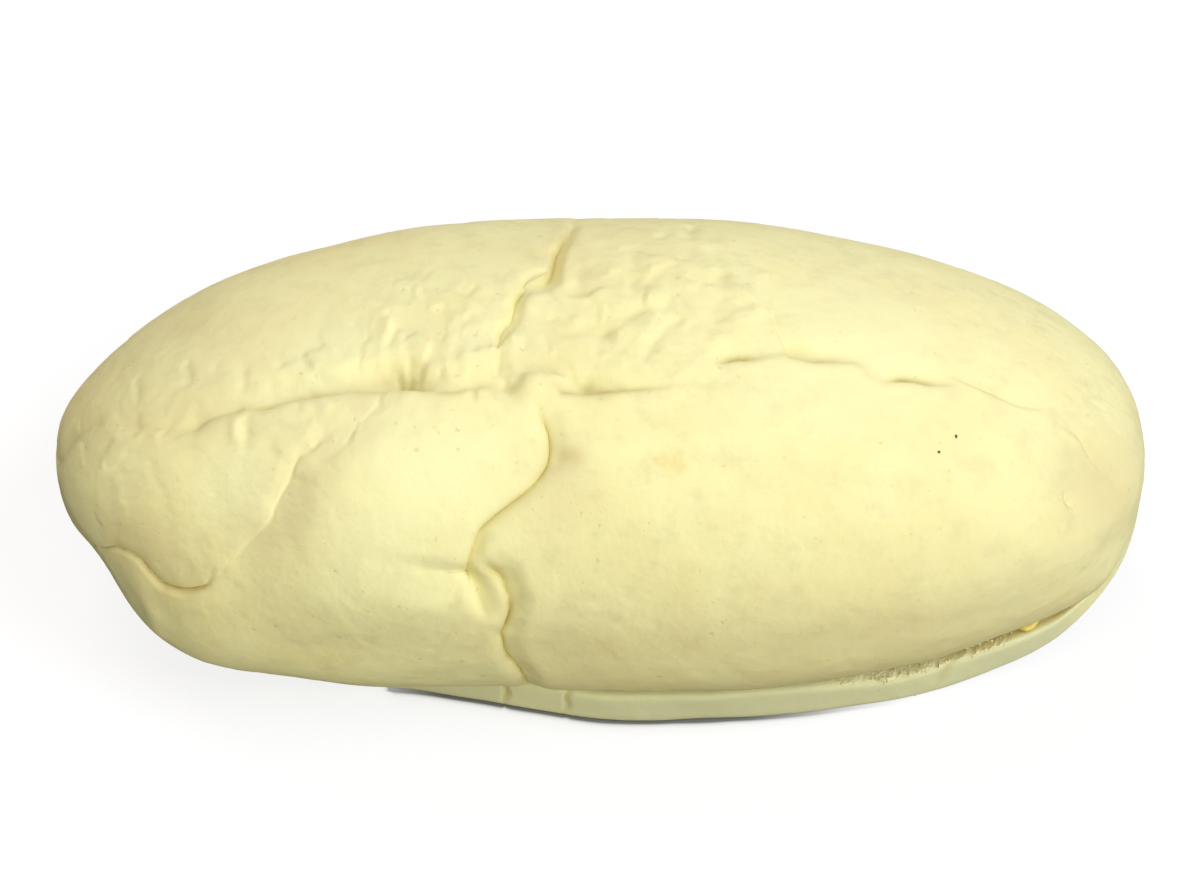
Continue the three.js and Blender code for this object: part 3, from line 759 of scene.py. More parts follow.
def heel_face(slit, share):
    """Face of the heel from its foot (-1) to its top (1): flat, with edges rounded over by a
    superellipse."""
    middle, half = (slit.heel_top + slit.heel_foot) / 2, (slit.heel_top - slit.heel_foot) / 2
    back = np.where(share > 0, slit.heel_back, slit.foot_back)
    y = back - (back - slit.face) * superellipse(share, HEEL_SQUARE)
    return np.stack([slit.x + 0 * y, y, middle + half * share], axis=-1)


print("gap in the middle and at the gape, mm:", slit_at(np.array([[0.0], [0.7]])).gap.ravel().round(2))

# %% [markdown]
# ## The bread as one closed surface
# Skin, heel and slit are one piece of bread. Separate surfaces could be sewn together, but one grid
# has no seams: rings along the roll, and on each ring one closed loop that goes along the slit's
# roof to the lip, over the dome to the sole, up the heel's face and back along the slit's floor.
# Rings and rows are spaced by arc length, closer where the folds are, so that little of the mesh is
# wasted on the smooth back.

# %% Places of the rings and rows
RINGS = 350
ROOF_ROWS, DOME_ROWS, SOLE_ROWS, HEEL_ROWS, FLOOR_ROWS = 14, 218, 5, 20, 14
FRONT_ANGLE, CROWN_ANGLE, BACK_ANGLE, SOLE_ANGLE = np.radians([25, 120, 160, 245])
FINE_STEPS = 4001
FOLDED_SPAN, FOLDED_WEIGHT = (-36, -26, 4, 12), 0.5
LEFT_SPAN, LEFT_WEIGHT = (-66, -62, -36, -26), 0.2
BACK_SPARED = 0.6


def even_places(values, curve, weight, count):
    """count places along a curve, the same weighted distance apart: the running sum of
    weight times arc length, read backwards at even steps. The two ends are left out."""
    arc = np.linalg.norm(np.diff(curve, axis=0), axis=1)
    run = np.concatenate([[0], np.cumsum(arc * (weight[1:] + weight[:-1]) / 2)])
    return np.interp(np.linspace(0, run[-1], count + 2)[1:-1], run, values)


fine_t = np.sin(np.linspace(-math.pi / 2, math.pi / 2, FINE_STEPS))
fine = station(fine_t)
ring_weight = 1 + FOLDED_WEIGHT * plateau(fine.x, *FOLDED_SPAN) + LEFT_WEIGHT * plateau(fine.x, *LEFT_SPAN)
ring_t = even_places(fine_t, np.stack([fine.x, fine.front], axis=1), ring_weight, RINGS)

fine_angle = np.linspace(LIP_ANGLE, SOLE_ANGLE, FINE_STEPS)
row_weight = 1 - BACK_SPARED * smoothstep(fine_angle, CROWN_ANGLE, BACK_ANGLE)
row_angle = even_places(fine_angle, dome(0.0, fine_angle), row_weight, DOME_ROWS - 2)
row_angle = np.concatenate([[LIP_ANGLE], row_angle, [SOLE_ANGLE]])
front_share = np.clip((FRONT_ANGLE - row_angle) / (FRONT_ANGLE - LIP_ANGLE), 0, 1)
dome_angle = row_angle + (lip_angle(ring_t[:, None]) - LIP_ANGLE) * front_share
print("rings about", round(2 * HALF_LENGTH / RINGS, 2), "mm apart,", len(row_angle), "rows over the dome")

# %% Skin over the dome
CALM_SPAN = (0.5, 6)


def skin(t, angle):
    """The dome with its swellings, dimples, relief and folds, calmer close to the sole. Returns
    points and the painted shade of its creases and pits."""
    base = dome(t, angle)
    shape = base.shape[:2]
    normals = dome_normal(t, angle).reshape(-1, 3)
    points = base.reshape(-1, 3)
    shift, shade = apply_folds(points, normals)
    above_sole = smoothstep(points[:, 2], *CALM_SPAN)
    height = bells(points, SWELLS + DIMPLES) + strokes(points, NICKS) + above_sole * skin_relief(points)
    pits = bells(points, PITS)
    height -= pits
    # painted shade: the pits are darkened as shade falls in them
    shade = np.minimum(shade + PIT_SHADE * pits, 1)
    points = points + shift + height[:, None] * normals
    points[:, 2] = np.maximum(points[:, 2], 0)
    return points.reshape(*shape, 3), shade.reshape(shape)


dome_points, crease = skin(ring_t[:, None], dome_angle)
print("skin of", crease.size, "points, crease tint up to", crease.max().round(2))

# %% Face of the heel
HEEL_WRINKLES = [  # x, slant, width, depth
    (-11.3, 0.1, 0.28, 0.6), (-4.1, 0.25, 0.25, 0.4), (40.4, 1.0, 0.6, 0.22),
]
WRINKLE_SWAY, WRINKLE_TURN, WRINKLE_FADE = 0.15, 5, (-1.1, 0.1)
HEEL_WAVE, HEEL_WAVE_SIZE = 0.18, 6.0


def heel_wrinkles(x, share):
    """Depth of the heel's upright wrinkles: bells of x round lines that slant and wind a little
    with the height, and die out towards the foot."""
    total = 0 * x * share
    for place, slant, width, depth in HEEL_WRINKLES:
        line = place + slant * share + WRINKLE_SWAY * np.sin(WRINKLE_TURN * share + place)
        total += depth * np.exp(-(((x - line) / width) ** 2))
    return total * smoothstep(share, *WRINKLE_FADE)


def heel_points(slit, share):
    """The heel's face with its wrinkles pushed inwards and a slight wave."""
    points = heel_face(slit, share)
    wave = HEEL_WAVE * lumps(points.reshape(-1, 3), HEEL_WAVE_SIZE).reshape(points.shape[:2])
    inward = heel_wrinkles(slit.x, share) + wave
    points[..., 1] += inward * superellipse(share, HEEL_SQUARE) * slit.scale
    return points


print(len(HEEL_WRINKLES), "wrinkles in the heel")

# %% Loops of the bread
LIP_FOLLOW = 4.0
HEEL_SPAN = (-46, -40, 53, 60)
# painted shade in the heel's wrinkles and inside the slit, and a painted shadow on the ledge under the lip
WRINKLE_SHADE, INSIDE_SHADE, LIP_SHADOW = 1.5, 0.4, 0.9
LIP_SHADOW_SPAN, LIP_SHADOW_SHARE = (34, 46, 57, 63), (0.98, 1.0)
TORN_SPAN = (24, 32, 47, 51)
TORN_SHARE, TORN_RAGGED = (0.91, 1.0), 0.12
TORN_NOISE = [(0.6, 1.1, 0), (0.4, 0.5, 7)]  # height, size, shift


def follow(wall, mouth_y, shift):
    """A wall of the slit with its mouth moved by shift, which dies out LIP_FOLLOW inside."""
    run = np.abs(wall[..., 1] - mouth_y)
    return wall + shift * (1 - smoothstep(run, 0, LIP_FOLLOW))[..., None]


def torn_crumb(slit, heel, share):
    """Mask of the torn crumb along the heel's top, with an edge made ragged by noise of two sizes."""
    flat = heel.reshape(-1, 3)
    ragged = sum(height * lumps(flat + shift, size) for height, size, shift in TORN_NOISE)
    edge = share + TORN_RAGGED * ragged.reshape(heel.shape[:2])
    return smoothstep(edge, *TORN_SHARE) * plateau(slit.x, *TORN_SPAN)


def bread_masks(slit, heel, share, parts):
    """Masks of heel, crumb and crease on the grid: each has one value for each part of the loops,
    spread over the part's rows. The crease mask is painted shade in the folds, pits and heel's
    wrinkles and inside the slit, and a painted shadow on the ledge under the lip."""
    def on_loops(*values):
        return np.hstack([np.broadcast_to(value, part.shape[:2]) for value, part in zip(values, parts)])

    is_heel = plateau(slit.x, *HEEL_SPAN)
    # painted shade inside the slit, and a painted shadow on the ledge just under the lip
    inside = INSIDE_SHADE * slit.open
    ledge_shadow = LIP_SHADOW * plateau(slit.x, *LIP_SHADOW_SPAN) * smoothstep(share, *LIP_SHADOW_SHARE)
    heel_shade = np.minimum(WRINKLE_SHADE * heel_wrinkles(slit.x, share) + ledge_shadow, 1)
    return SimpleNamespace(
        heel=on_loops(0, 0, 0, is_heel, is_heel),
        crumb=on_loops(slit.open, 0, 0, torn_crumb(slit, heel, share), slit.open),
        crease=on_loops(inside, crease, 0, heel_shade, inside),
    )


def bread_loops():
    """All loops as one grid of points, with their masks: roof, dome, sole, heel and floor."""
    slit = slit_at(ring_t[:, None])
    mouth = np.zeros((1, 1))
    lip_shift = dome_points[:, :1] - slit_roof(slit, mouth)
    roof = slit_roof(slit, np.linspace(1, 0, ROOF_ROWS + 1)[None, :-1])
    roof = follow(roof, slit.lip_y, lip_shift)
    heel_share = np.sin(np.linspace(-math.pi / 2, math.pi / 2, HEEL_ROWS))[None, :]
    shut = lip_shift * (1 - slit.open)[..., None]
    heel = heel_points(slit, heel_share) + shut * ((1 + heel_share) / 2)[..., None]
    sole_share = np.linspace(0, 1, SOLE_ROWS + 2)[None, 1:-1, None]
    sole = blend(dome_points[:, -1:], heel[:, :1], sole_share)
    floor = slit_floor(slit, np.linspace(0, 1, FLOOR_ROWS + 1)[None, 1:])
    floor = follow(floor, slit.heel_back, heel[:, -1:] - slit_floor(slit, mouth))
    parts = [roof, dome_points, sole, heel, floor]
    return np.concatenate(parts, axis=1), bread_masks(slit, heel, heel_share, parts)


grid, masks = bread_loops()
print("bread grid", grid.shape[:2])

# %% Round the lip
LIP_SPREAD, LIP_PASSES = 5, 4


def ease_loops(points, centre, spread, passes):
    """Softens the loops round one row: each pass moves a point towards the middle of its two
    neighbours on the loop, fully at the centre row and less and less away from it."""
    rows = np.arange(points.shape[1])
    weight = np.clip(1 - np.abs(rows - centre) / spread, 0, 1)[None, :, None]
    for _ in range(passes):
        middle = (np.roll(points, 1, axis=1) + np.roll(points, -1, axis=1)) / 2
        points = blend(points, middle, weight)
    return points


grid = ease_loops(grid, ROOF_ROWS, LIP_SPREAD, LIP_PASSES)
print("lip eased over", 2 * LIP_SPREAD - 1, "rows")

# %% Mesh from a closed grid
def tube_mesh(name, points, tips):
    """A mesh over loops of points, run to a tip at each end. Faces are four-cornered between the
    loops and three-cornered at the tips, all in the same turning sense."""
    rings, rows = points.shape[:2]
    here = np.arange(rows)
    after = np.roll(here, -1)
    tip, last_loop = rings * rows, (rings - 1) * rows
    start = np.stack([0 * here + tip, here, after], axis=1)
    finish = np.stack([0 * here + tip + 1, after + last_loop, here + last_loop], axis=1)
    places = np.vstack([points.reshape(-1, 3), tips]) * MM
    piece = new_piece(name, places, [*loop_faces(rings, rows), *start.tolist(), *finish.tolist()])
    piece.data.polygons.foreach_set("use_smooth", np.ones(len(piece.data.polygons), bool))
    return piece


def paint(piece, name, values):
    """Stores one number for each point of the mesh, which its material reads by name."""
    layer = piece.data.attributes.new(name, "FLOAT", "POINT")
    padded = np.zeros(len(piece.data.vertices), np.float32)
    padded[: values.size] = values.ravel()
    layer.data.foreach_set("value", padded)


TIPS = np.array([[end * HALF_LENGTH, AXIS_Y + TIP_SETBACK, TIP_HEIGHT] for end in (-1, 1)])
bread = tube_mesh("bread", grid, TIPS)
for name, values in vars(masks).items():
    paint(bread, name, values)
print("bread mesh:", len(bread.data.polygons), "faces")

# %% [markdown]
# ## The crust
# The crust is a thin pale skin, matt, slightly see-through, and creamy yellow with faint warmer
# clouds. Painted light makes some patches lighter, and painted shade makes others darker and duller.
# It is full of tiny grey pores. The creases, pits and heel's wrinkles, the inside of the slit and
# the ledge under the lip are darkened to a deeper yellow by painted shade. The heel's face is a
# little greener and greyer, and in the slit the white crumb shows its grain. An image could be
# painted for all this. One node material on the piece's own coordinates, with a few painted masks,
# stays sharp at any distance instead.

# %% Helpers for materials
def node(tree, kind, **settings):
    """One node. Settings with capital letters are sockets, the others its properties."""
    made = tree.nodes.new(kind)
    for key, value in settings.items():
        if key in made.inputs:
            made.inputs[key].default_value = value
        else:
            setattr(made, key, value)
    return made


def object_places(tree):
    """The piece's own coordinates, in metres."""
    return node(tree, "ShaderNodeTexCoord").outputs["Object"]


def noise(tree, places, size, detail=2.0, roughness=0.5):
    """Smooth noise from 0 to 1 with features of that size in millimetres."""
    made = node(tree, "ShaderNodeTexNoise", Scale=1 / (size * MM), Detail=detail, Roughness=roughness)
    tree.links.new(places, made.inputs["Vector"])
    return made.outputs["Fac"]


def span(tree, value, low, high, to_low=0.0, to_high=1.0):
    """value from low to high, brought to the range to_low to to_high and cut off outside it."""
    made = node(tree, "ShaderNodeMapRange", interpolation_type="SMOOTHSTEP")
    for name, number in (("From Min", low), ("From Max", high), ("To Min", to_low), ("To Max", to_high)):
        made.inputs[name].default_value = number
    tree.links.new(value, made.inputs["Value"])
    return made.outputs["Result"]


def join(tree, operation, a, b):
    """Arithmetic on two values, each a socket or a number."""
    made = node(tree, "ShaderNodeMath", operation=operation)
    for socket, value in zip(made.inputs, (a, b)):
        if isinstance(value, (int, float)):
            socket.default_value = value
        else:
            tree.links.new(value, socket)
    return made.outputs["Value"]


def mix_colour(tree, share, a, b):
    """Colour a where share is 0 and b where it is 1; each is a socket or a colour."""
    made = node(tree, "ShaderNodeMix", data_type="RGBA")
    tree.links.new(share, made.inputs["Factor"])
    for socket, value in ((made.inputs[6], a), (made.inputs[7], b)):
        if isinstance(value, tuple):
            socket.default_value = (*value, 1)
        else:
            tree.links.new(value, socket)
    return made.outputs[2]


def painted(tree, name):
    """The numbers that paint() stored on the piece."""
    return node(tree, "ShaderNodeAttribute", attribute_name=name).outputs["Fac"]


# %% Crust colours
CRUST_PALE = (0.94, 0.885, 0.46)
CRUST_WARM = (0.93, 0.845, 0.425)
CRUST_DULL = (0.80, 0.745, 0.375)
# painted shade: the deeper yellow that darkens creases, pits, wrinkles, the slit's inside and the ledge under
# the lip
CREASE_SHADE_YELLOW = (0.56, 0.46, 0.13)
PORE_GREY = (0.54, 0.47, 0.22)
STAIN_BROWN = (0.84, 0.66, 0.22)
HEEL_PALE = (0.72, 0.72, 0.425)
CRUMB_PALE = (0.92, 0.88, 0.53)
CRUMB_DEEP = (0.80, 0.74, 0.42)
# painted light: a paler tone
CRUST_PAINTED_LIGHT = (1.0, 0.96, 0.53)
# painted shade: a darker, duller tone
CRUST_PAINTED_SHADE = (0.80, 0.70, 0.36)
STAINS = [((7.9, 54.6), 1.0, 2.1)]
# painted light: paler patches on the lobes, the shaded rim of the left end and the left part of the heel
PAINTED_LIGHT_PATCHES = [  # places on the skin, strength, radius
    ((-19, 51), 0.7, 9), ((-28, 32), 0.6, 8), ((-31, 88), 0.6, 9), ((30, 92), 0.6, 12),
    ((-62, 8), 1.0, 6), ((-58, -12), 0.9, 6), ((-52, -26), 0.8, 7), ((-44, -34), 0.7, 7),
    ((-14.5, 88), 0.6, 4), ((-40.5, 49), 0.8, 5), ((-6, -60), 1.0, 8), ((33, -62), 0.7, 7),
    ((-13, -18), 0.5, 4),
]
# painted shade: darker patches in hollows, beside folds, at the right end and above the slit; place,
# strength, radius
PAINTED_SHADE_PATCHES = [
    ((59, 46), 1.0, 7), ((40, -22), 0.5, 14), ((20, -24), 0.4, 14), ((-5, -17), 0.6, 7),
    ((-46, 72), 0.5, 4), ((-24, 78), 0.6, 2.5), ((-28, 76.7), 0.7, 2), ((-50, 20), 0.8, 4),
    ((-56, 22), 0.6, 4), ((-7, 42), 0.3, 5), ((-35.5, 46), 1.0, 4.5), ((-37.5, 36), 0.7, 4),
    ((-30.5, 61), 0.5, 3.5), ((-43, 100), 0.4, 9), ((-5, 80), 0.4, 4), ((-27, 73), 0.5, 3),
    ((-4, 47), 0.4, 4), ((-3.8, 55.5), 1.0, 2.0),
]
# paints the stain, the painted light patches and the painted shade patches
for name, rows in (("stain", STAINS), ("light", PAINTED_LIGHT_PATCHES), ("painted_shade", PAINTED_SHADE_PATCHES)):
    paint(bread, name, bells(grid, rows))
print(len(PAINTED_LIGHT_PATCHES), "light and", len(PAINTED_SHADE_PATCHES), "worn patches")

# %% Pores of the crust
PORES = [  # spacing, radius, share of the cells, strength
    (4.4, 0.42, 0.45, 0.55), (2.3, 0.36, 0.45, 0.6), (1.1, 0.22, 0.4, 0.4),
]
PORE_CORE = 0.35
PORE_FULL, PORE_FADE = 1.15, 0.6
PORE_BEND_SIZE, PORE_BEND = 0.7, 0.35
THICKET_SIZE, THICKET_SPAN = 20, (0.36, 0.6, 0.35, 1.0)


def warp(tree, places, size, reach):
    """Coordinates pushed about by noise of that size, up to reach; both in millimetres."""
    push = node(tree, "ShaderNodeTexNoise", Scale=1 / (size * MM), Detail=1.0)
    tree.links.new(places, push.inputs["Vector"])
    centred = node(tree, "ShaderNodeVectorMath", operation="SUBTRACT")
    centred.inputs[1].default_value = (0.5, 0.5, 0.5)
    tree.links.new(push.outputs["Color"], centred.inputs[0])
    scaled = node(tree, "ShaderNodeVectorMath", operation="SCALE")
    scaled.inputs["Scale"].default_value = 2 * reach * MM
    tree.links.new(centred.outputs["Vector"], scaled.inputs[0])
    moved = node(tree, "ShaderNodeVectorMath", operation="ADD")
    tree.links.new(places, moved.inputs[0])
    tree.links.new(scaled.outputs["Vector"], moved.inputs[1])
    return moved.outputs["Vector"]


def pores(tree, places, spacing, radius, share):
    """Small spots: the middles of some of the cells of a pattern. spacing and radius are in
    millimetres, and share is the part of the cells that has a spot, some fainter than others."""
    cells = node(tree, "ShaderNodeTexVoronoi", Scale=1 / (spacing * MM))
    tree.links.new(places, cells.inputs["Vector"])
    split = node(tree, "ShaderNodeSeparateColor")
    tree.links.new(cells.outputs["Color"], split.inputs["Color"])
    some = span(tree, split.outputs["Red"], 1 - share, PORE_FULL - PORE_FADE * share)
    reach = radius / spacing
    return join(tree, "MULTIPLY", span(tree, cells.outputs["Distance"], reach, PORE_CORE * reach), some)


def crust_spots(tree, places):
    """Pores of all sizes, the strongest at each place, thick in some areas and sparse in others."""
    bent = warp(tree, places, PORE_BEND_SIZE, PORE_BEND)
    spots = 0.0
    for spacing, radius, share, strength in PORES:
        layer = join(tree, "MULTIPLY", pores(tree, bent, spacing, radius, share), strength)
        spots = join(tree, "MAXIMUM", layer, spots)
    thicket = span(tree, noise(tree, places, THICKET_SIZE), *THICKET_SPAN)
    return join(tree, "MULTIPLY", spots, thicket)


print(len(PORES), "sizes of pores")

# %% Crust material
CLOUD_SIZE, CLOUD_SPAN = 11, (0.42, 0.66)
MOTTLE_SIZE, MOTTLE_SPAN = 3.4, (0.45, 0.72, 0, 0.55)
GRAIN_SIZE, GRAIN_SPAN, GRAIN_HEIGHT = 0.55, (0.40, 0.58), 0.3
STAIN_SIZE, STAIN_SPAN = 1.6, (0.1, 0.6, 0, 0.6)
PORE_TINT, PORE_DEPTH = 0.55, 0.06
SKIN_GRAIN = [(0.8, 3, 0.6, 0.035), (2.4, 2, 0.5, 0.13)]  # size, detail, roughness, height
CRUST_SHADER = {
    "Roughness": 0.78, "Specular IOR Level": 0.15, "Subsurface Weight": 0.15,
    "Subsurface Radius": (1.0, 0.8, 0.4), "Subsurface Scale": 1.2 * MM,
}


def crust_colour(tree, places, grain, spots):
    """Clouds and dull mottling, and over them painted shade patches, the heel, painted light
    patches, the crumb, pores, the stain and the painted shade of the creases.
    """
    clouds = span(tree, noise(tree, places, CLOUD_SIZE, detail=3), *CLOUD_SPAN)
    colour = mix_colour(tree, clouds, CRUST_PALE, CRUST_WARM)
    mottle = span(tree, noise(tree, places, MOTTLE_SIZE, detail=4, roughness=0.62), *MOTTLE_SPAN)
    colour = mix_colour(tree, mottle, colour, CRUST_DULL)
    crumb = mix_colour(tree, span(tree, grain, *GRAIN_SPAN), CRUMB_DEEP, CRUMB_PALE)
    # painted shade patches, the heel, painted light patches and the crumb, in turn
    tones = {"painted_shade": CRUST_PAINTED_SHADE, "heel": HEEL_PALE, "light": CRUST_PAINTED_LIGHT, "crumb": crumb}
    for name, tone in tones.items():
        colour = mix_colour(tree, painted(tree, name), colour, tone)
    colour = mix_colour(tree, join(tree, "MULTIPLY", spots, PORE_TINT), colour, PORE_GREY)
    stain = join(tree, "MULTIPLY", painted(tree, "stain"), noise(tree, places, STAIN_SIZE))
    colour = mix_colour(tree, span(tree, stain, *STAIN_SPAN), colour, STAIN_BROWN)
    # painted shade in the creases, pits, wrinkles, inside the slit and on the ledge under the lip
    return mix_colour(tree, painted(tree, "crease"), colour, CREASE_SHADE_YELLOW)


def crust_height(tree, places, grain, spots):
    """Height of the skin's grain in millimetres, with the grain of the crumb, less the pores."""
    height = join(tree, "MULTIPLY", join(tree, "MULTIPLY", grain, painted(tree, "crumb")), GRAIN_HEIGHT)
    for size, detail, roughness, rise in SKIN_GRAIN:
        layer = join(tree, "MULTIPLY", noise(tree, places, size, detail, roughness), rise)
        height = join(tree, "ADD", height, layer)
    return join(tree, "SUBTRACT", height, join(tree, "MULTIPLY", spots, PORE_DEPTH))


def crust_material():
    """Matt and slightly see-through crust, with its colour and its grain as bumps."""
    material, tree, shader = new_material("pale_crust", CRUST_SHADER)
    places = object_places(tree)
    grain = noise(tree, places, GRAIN_SIZE, detail=3, roughness=0.65)
    spots = crust_spots(tree, places)
    bump = node(tree, "ShaderNodeBump", Strength=1.0, Distance=MM)
    tree.links.new(crust_colour(tree, places, grain, spots), shader.inputs["Base Color"])
    tree.links.new(crust_height(tree, places, grain, spots), bump.inputs["Height"])
    tree.links.new(bump.outputs["Normal"], shader.inputs["Normal"])
    return material


bread.data.materials.append(crust_material())
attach(bread, "root")
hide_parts("bread_roll")
print("crust material on", bread.name)

# %% [markdown]
# ## The cream
# The cream is a flat tongue in the slit. From outside only a dab near the right end shows, where it
# has crept forward to the mouth. A flat box pushed into the slit would cut through its walls, so the
# cream is drawn with the slit's own curves, moved inwards by a small clearance.

# %% Cream tongue
CREAM_SPAN = (-42.0, 53.5)
CREAM_CLEARANCE = 0.3
CREAM_MOUTH, CREAM_BACK = 5.0, 1.5
DAB_PLACE, DAB_SPREAD, DAB_REACH = 51.0, 3.0, 5.2
CREAM_BLUNT = 24
CREAM_RINGS, CREAM_ROWS = 150, 28
CREAM_DEEP, CREAM_PALE = (0.80, 0.62, 0.10), (0.87, 0.73, 0.22)
CREAM_CLOUD, CREAM_CLOUD_SPAN = 3, (0.4, 0.65)
CREAM_SHADER = {
    "Roughness": 0.35, "Subsurface Weight": 0.2,
    "Subsurface Radius": (1.0, 0.7, 0.2), "Subsurface Scale": 1.5 * MM,
}


def cream_loops():
    """Loops of the cream: the slit's roof and floor between a wavy front edge and the slit's end,
    each moved inwards by the clearance, and closing at both ends of the span."""
    share = np.linspace(0, 1, CREAM_RINGS + 2)[1:-1, None]
    x = blend(*CREAM_SPAN, (1 - np.cos(np.pi * share)) / 2)
    slit = slit_at(x / HALF_LENGTH)
    width = np.sqrt(np.maximum(0, 1 - (2 * share - 1) ** CREAM_BLUNT))
    creep = DAB_REACH * np.exp(-(((x - DAB_PLACE) / DAB_SPREAD) ** 2))
    deep = slit.end - slit.lip_y
    mouth, back = CREAM_MOUTH / deep, 1 - CREAM_BACK / deep
    middle = (mouth + back) / 2
    row = np.linspace(0, 1, CREAM_ROWS)[None, :]
    front_edge = blend(middle, mouth, width) - creep / deep
    roof = slit_roof(slit, blend(front_edge, blend(middle, back, width), row))
    floor = slit_floor(slit, (roof[..., 1] - slit.heel_back) / (slit.end - slit.heel_back))
    roof[..., 2] -= CREAM_CLEARANCE
    floor[..., 2] += CREAM_CLEARANCE
    return np.concatenate([roof, floor[:, ::-1]], axis=1)


def two_tone(name, settings, size, limits, a, b):
    """A material of two colours in patches of that size: a where its noise is low, b where it is
    high. Between the limits, if there are any, one goes over into the other."""
    material, tree, shader = new_material(name, settings)
    share = noise(tree, object_places(tree), size)
    if limits:
        share = span(tree, share, *limits)
    tree.links.new(mix_colour(tree, share, a, b), shader.inputs["Base Color"])
    return material


cream_grid = cream_loops()
cream_tips = np.array([cream_grid[0].mean(axis=0), cream_grid[-1].mean(axis=0)])
cream_tips[:, 0] = CREAM_SPAN
cream = tube_mesh("cream", cream_grid, cream_tips)
cream.data.materials.append(
    two_tone("custard_cream", CREAM_SHADER, CREAM_CLOUD, CREAM_CLOUD_SPAN, CREAM_DEEP, CREAM_PALE))
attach(cream, "root")
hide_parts("cream_filling")
print("cream mesh:", len(cream.data.polygons), "faces")

# %% [markdown]
# ## Crumbs and specks
# Where the knife tore the bread, loose grains of crumb stand along the heel's upper edge, and two
# specks of dark bran are baked into the crust. A particle system could scatter them, but it isn't
# exported, so each kind is one mesh: a rough ball of a few faces is copied to seeded random places,
# all as one array.

# %% Scattered grains
BALL_STEPS, BALL_LEVELS = 6, 2
BALL_SWELL = (0.67, 1.2)


def rough_ball():
    """Corners and faces of a small ball: rings of corners between two poles."""
    turn = np.arange(BALL_STEPS) * 2 * math.pi / BALL_STEPS
    tilt = (np.arange(BALL_LEVELS) + 1) * math.pi / (BALL_LEVELS + 1)
    ring = np.stack([np.cos(turn), np.sin(turn)], axis=1)
    rows = [np.column_stack([math.sin(a) * ring, np.full(BALL_STEPS, math.cos(a))]) for a in tilt]
    corners = np.vstack([[(0, 0, 1)], *rows, [(0, 0, -1)]])
    here = 1 + np.arange(BALL_STEPS)
    after = np.roll(here, -1)
    last, low = len(corners) - 1, (BALL_LEVELS - 1) * BALL_STEPS
    top = np.stack([0 * here, here, after], axis=1)
    bottom = np.stack([0 * here + last, after + low, here + low], axis=1)
    side = [
        face + level * BALL_STEPS
        for level in range(BALL_LEVELS - 1)
        for face in (np.stack([here, here + BALL_STEPS, after + BALL_STEPS], axis=1),
                     np.stack([here, after + BALL_STEPS, after], axis=1))
    ]
    return corners, np.vstack([top, *side, bottom])


def scatter(name, places, sizes):
    """One mesh of rough balls at the places, each stretched to its own size, with every corner
    moved in by up to a third or out by up to a fifth."""
    corners, faces = rough_ball()
    swell = rng.uniform(*BALL_SWELL, (len(places), len(corners), 1))
    points = places[:, None] + corners[None] * swell * sizes[:, None]
    index = faces[None] + (np.arange(len(places)) * len(corners))[:, None, None]
    piece = new_piece(name, points.reshape(-1, 3) * MM, index.reshape(-1, 3).tolist())
    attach(piece, "root")
    return piece


print("one grain has", len(rough_ball()[1]), "faces")

# %% Crumbs along the torn edge
CRUMB_COUNT = 380
CRUMB_SIZE, CRUMB_STRETCH, CRUMB_JITTER = (0.08, 0.17), (0.7, 1.3), 0.08
CRUMB_GRAIN, CRUMB_GRAIN_SPAN = 0.4, (0.35, 0.6)
CRUMB_SHADER = {"Roughness": 0.85, "Specular IOR Level": 0.1}
ROWS_BELOW, ROWS_INSIDE = 5, 2
heel_start = ROOF_ROWS + DOME_ROWS + SOLE_ROWS
heel_end = heel_start + HEEL_ROWS
edge_rows = slice(heel_end - ROWS_BELOW, heel_end + ROWS_INSIDE)
edge_points = grid[:, edge_rows].reshape(-1, 3)
edge_crumb = masks.crumb[:, edge_rows].ravel() * plateau(edge_points[:, 0], *TORN_SPAN)
chosen = rng.choice(len(edge_points), CRUMB_COUNT, p=edge_crumb / edge_crumb.sum())
crumb_places = edge_points[chosen] + rng.normal(0, CRUMB_JITTER, (CRUMB_COUNT, 3))
crumb_sizes = rng.uniform(*CRUMB_SIZE, (CRUMB_COUNT, 1)) * rng.uniform(*CRUMB_STRETCH, (CRUMB_COUNT, 3))
crumbs = scatter("crumbs", crumb_places, crumb_sizes)
crumbs.data.materials.append(
    two_tone("bread_crumb", CRUMB_SHADER, CRUMB_GRAIN, CRUMB_GRAIN_SPAN, CRUMB_DEEP, CRUMB_PALE))
print(CRUMB_COUNT, "crumbs,", len(crumbs.data.polygons), "faces")

# %% Specks of bran
SPECK_PLACES = [(40.5, 64.1), (38.4, 59.9)]
SPECK_SIZES = np.array([(0.2, 0.26, 0.26), (0.2, 0.18, 0.16)])
BRAN_DARK, BRAN_LIGHT = (0.09, 0.05, 0.02), (0.22, 0.13, 0.05)
BRAN_GRAIN, BRAN_SHADER = 0.2, {"Roughness": 0.7}
speck_rings = [np.abs(ring_t * HALF_LENGTH - x).argmin() for x, _ in SPECK_PLACES]
speck_rows = [np.abs(np.degrees(row_angle) - angle).argmin() for _, angle in SPECK_PLACES]
specks = scatter("bran_specks", dome_points[speck_rings, speck_rows], SPECK_SIZES)
specks.data.materials.append(two_tone("dark_bran", BRAN_SHADER, BRAN_GRAIN, None, BRAN_DARK, BRAN_LIGHT))
print(len(SPECK_PLACES), "specks")

# %% [markdown]
# ## The floor
# The roll stands on a white table, and a thin dark line shows all along its foot, where no light
# gets in. The floor has a glow of its own to be white, so that line would be lost on a plain sheet.
# A line could be painted on it, but loops round the roll's footprint follow the foot exactly. So the
# floor is made last, from such loops, and its glow fades close to the foot.

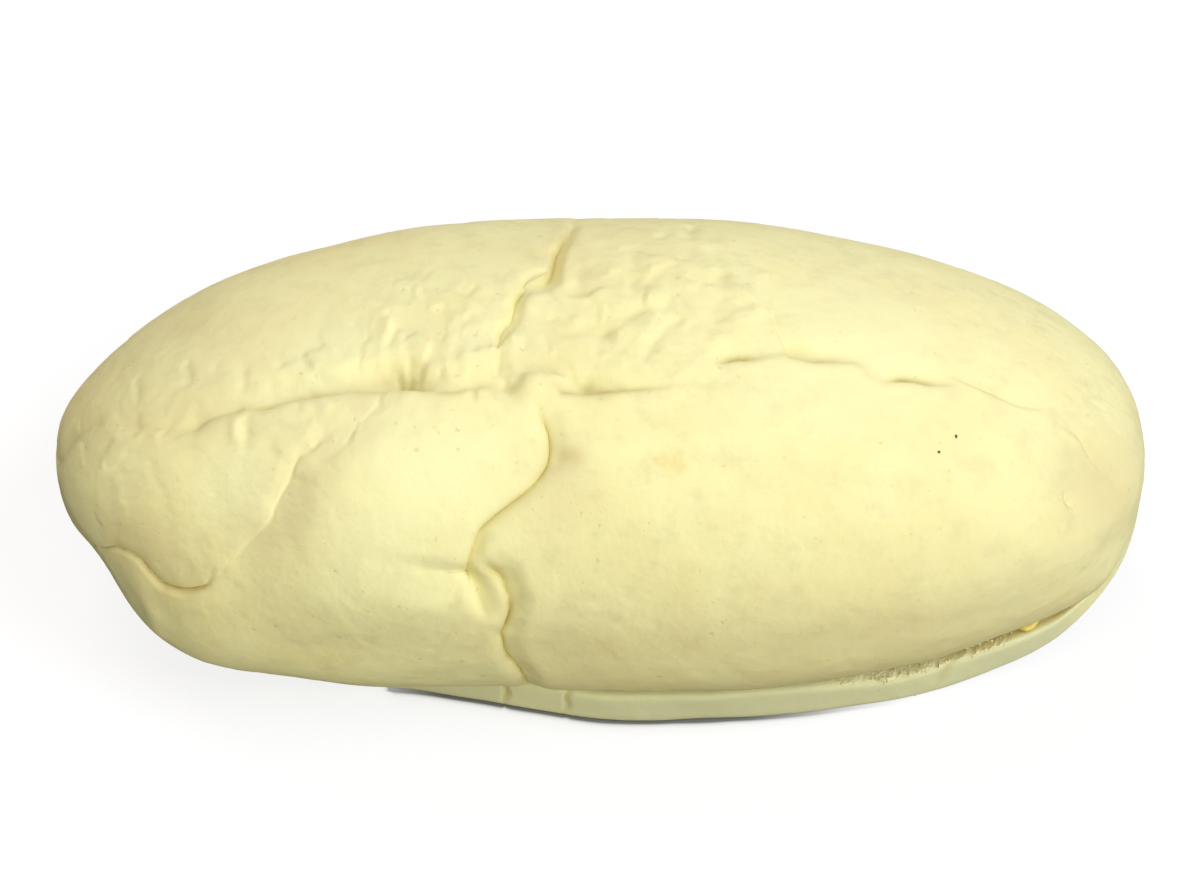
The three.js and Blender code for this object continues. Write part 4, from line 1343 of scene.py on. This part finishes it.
# %% Floor round the footprint
FLOOR_COLOUR = (0.25, 0.25, 0.25, 1)
FLOOR_GLOW = 0.8
FLOOR_RADIUS = 3 * STAGE_RADIUS
FLOOR_LOOPS = [(-1, 0.0), (0.05, 0.0), (0.2, 0.3), (0.4, 0.6), (0.8, 0.75), (2, FLOOR_GLOW)]  # mm out, glow
LINE_SPAN = (-38, -18, 15, 40)
STANDING = 0.05


def footprint():
    """Corners of the area that the bread covers where it stands: under the heel's face from left to
    right, and along its foot at the back from right to left."""
    heel = grid[:, heel_start:heel_end]
    front = np.stack([heel[:, 0, 0], heel[..., 1].min(axis=1)], axis=1)
    back = grid[:, ROOF_ROWS + DOME_ROWS - 1, :2]
    standing = heel[:, 0, 2] < STANDING
    return np.vstack([front[standing], back[standing][::-1]])


def add_floor():
    """Loops at set distances outside the footprint, and a last one well past the backdrop. The way
    out at a corner is square to the chord between its neighbours. The dark line dies out towards
    both ends."""
    corners = footprint()
    chord = np.roll(corners, -2, axis=0) - np.roll(corners, 2, axis=0)
    out = unit(np.stack([chord[:, 1], -chord[:, 0]], axis=1))
    loops = [corners + distance * out for distance, _ in FLOOR_LOOPS]
    loops.append(unit(corners - corners.mean(axis=0)) * FLOOR_RADIUS / MM)
    flat = np.vstack(loops)
    points = np.column_stack([flat, np.zeros(len(flat))]) * MM
    floor = stage_piece("floor", points, loop_faces(len(loops), len(corners)), FLOOR_COLOUR, 0.0)
    glow = np.array([glow for _, glow in FLOOR_LOOPS] + [FLOOR_GLOW])[:, None]
    paint(floor, "glow", blend(FLOOR_GLOW, glow, plateau(corners[:, 0], *LINE_SPAN)))
    tree = floor.data.materials[0].node_tree
    tree.links.new(painted(tree, "glow"), tree.nodes["Principled BSDF"].inputs["Emission Strength"])
    return floor


floor = add_floor()
print("floor of", len(floor.data.polygons), "faces")

# %% [markdown]
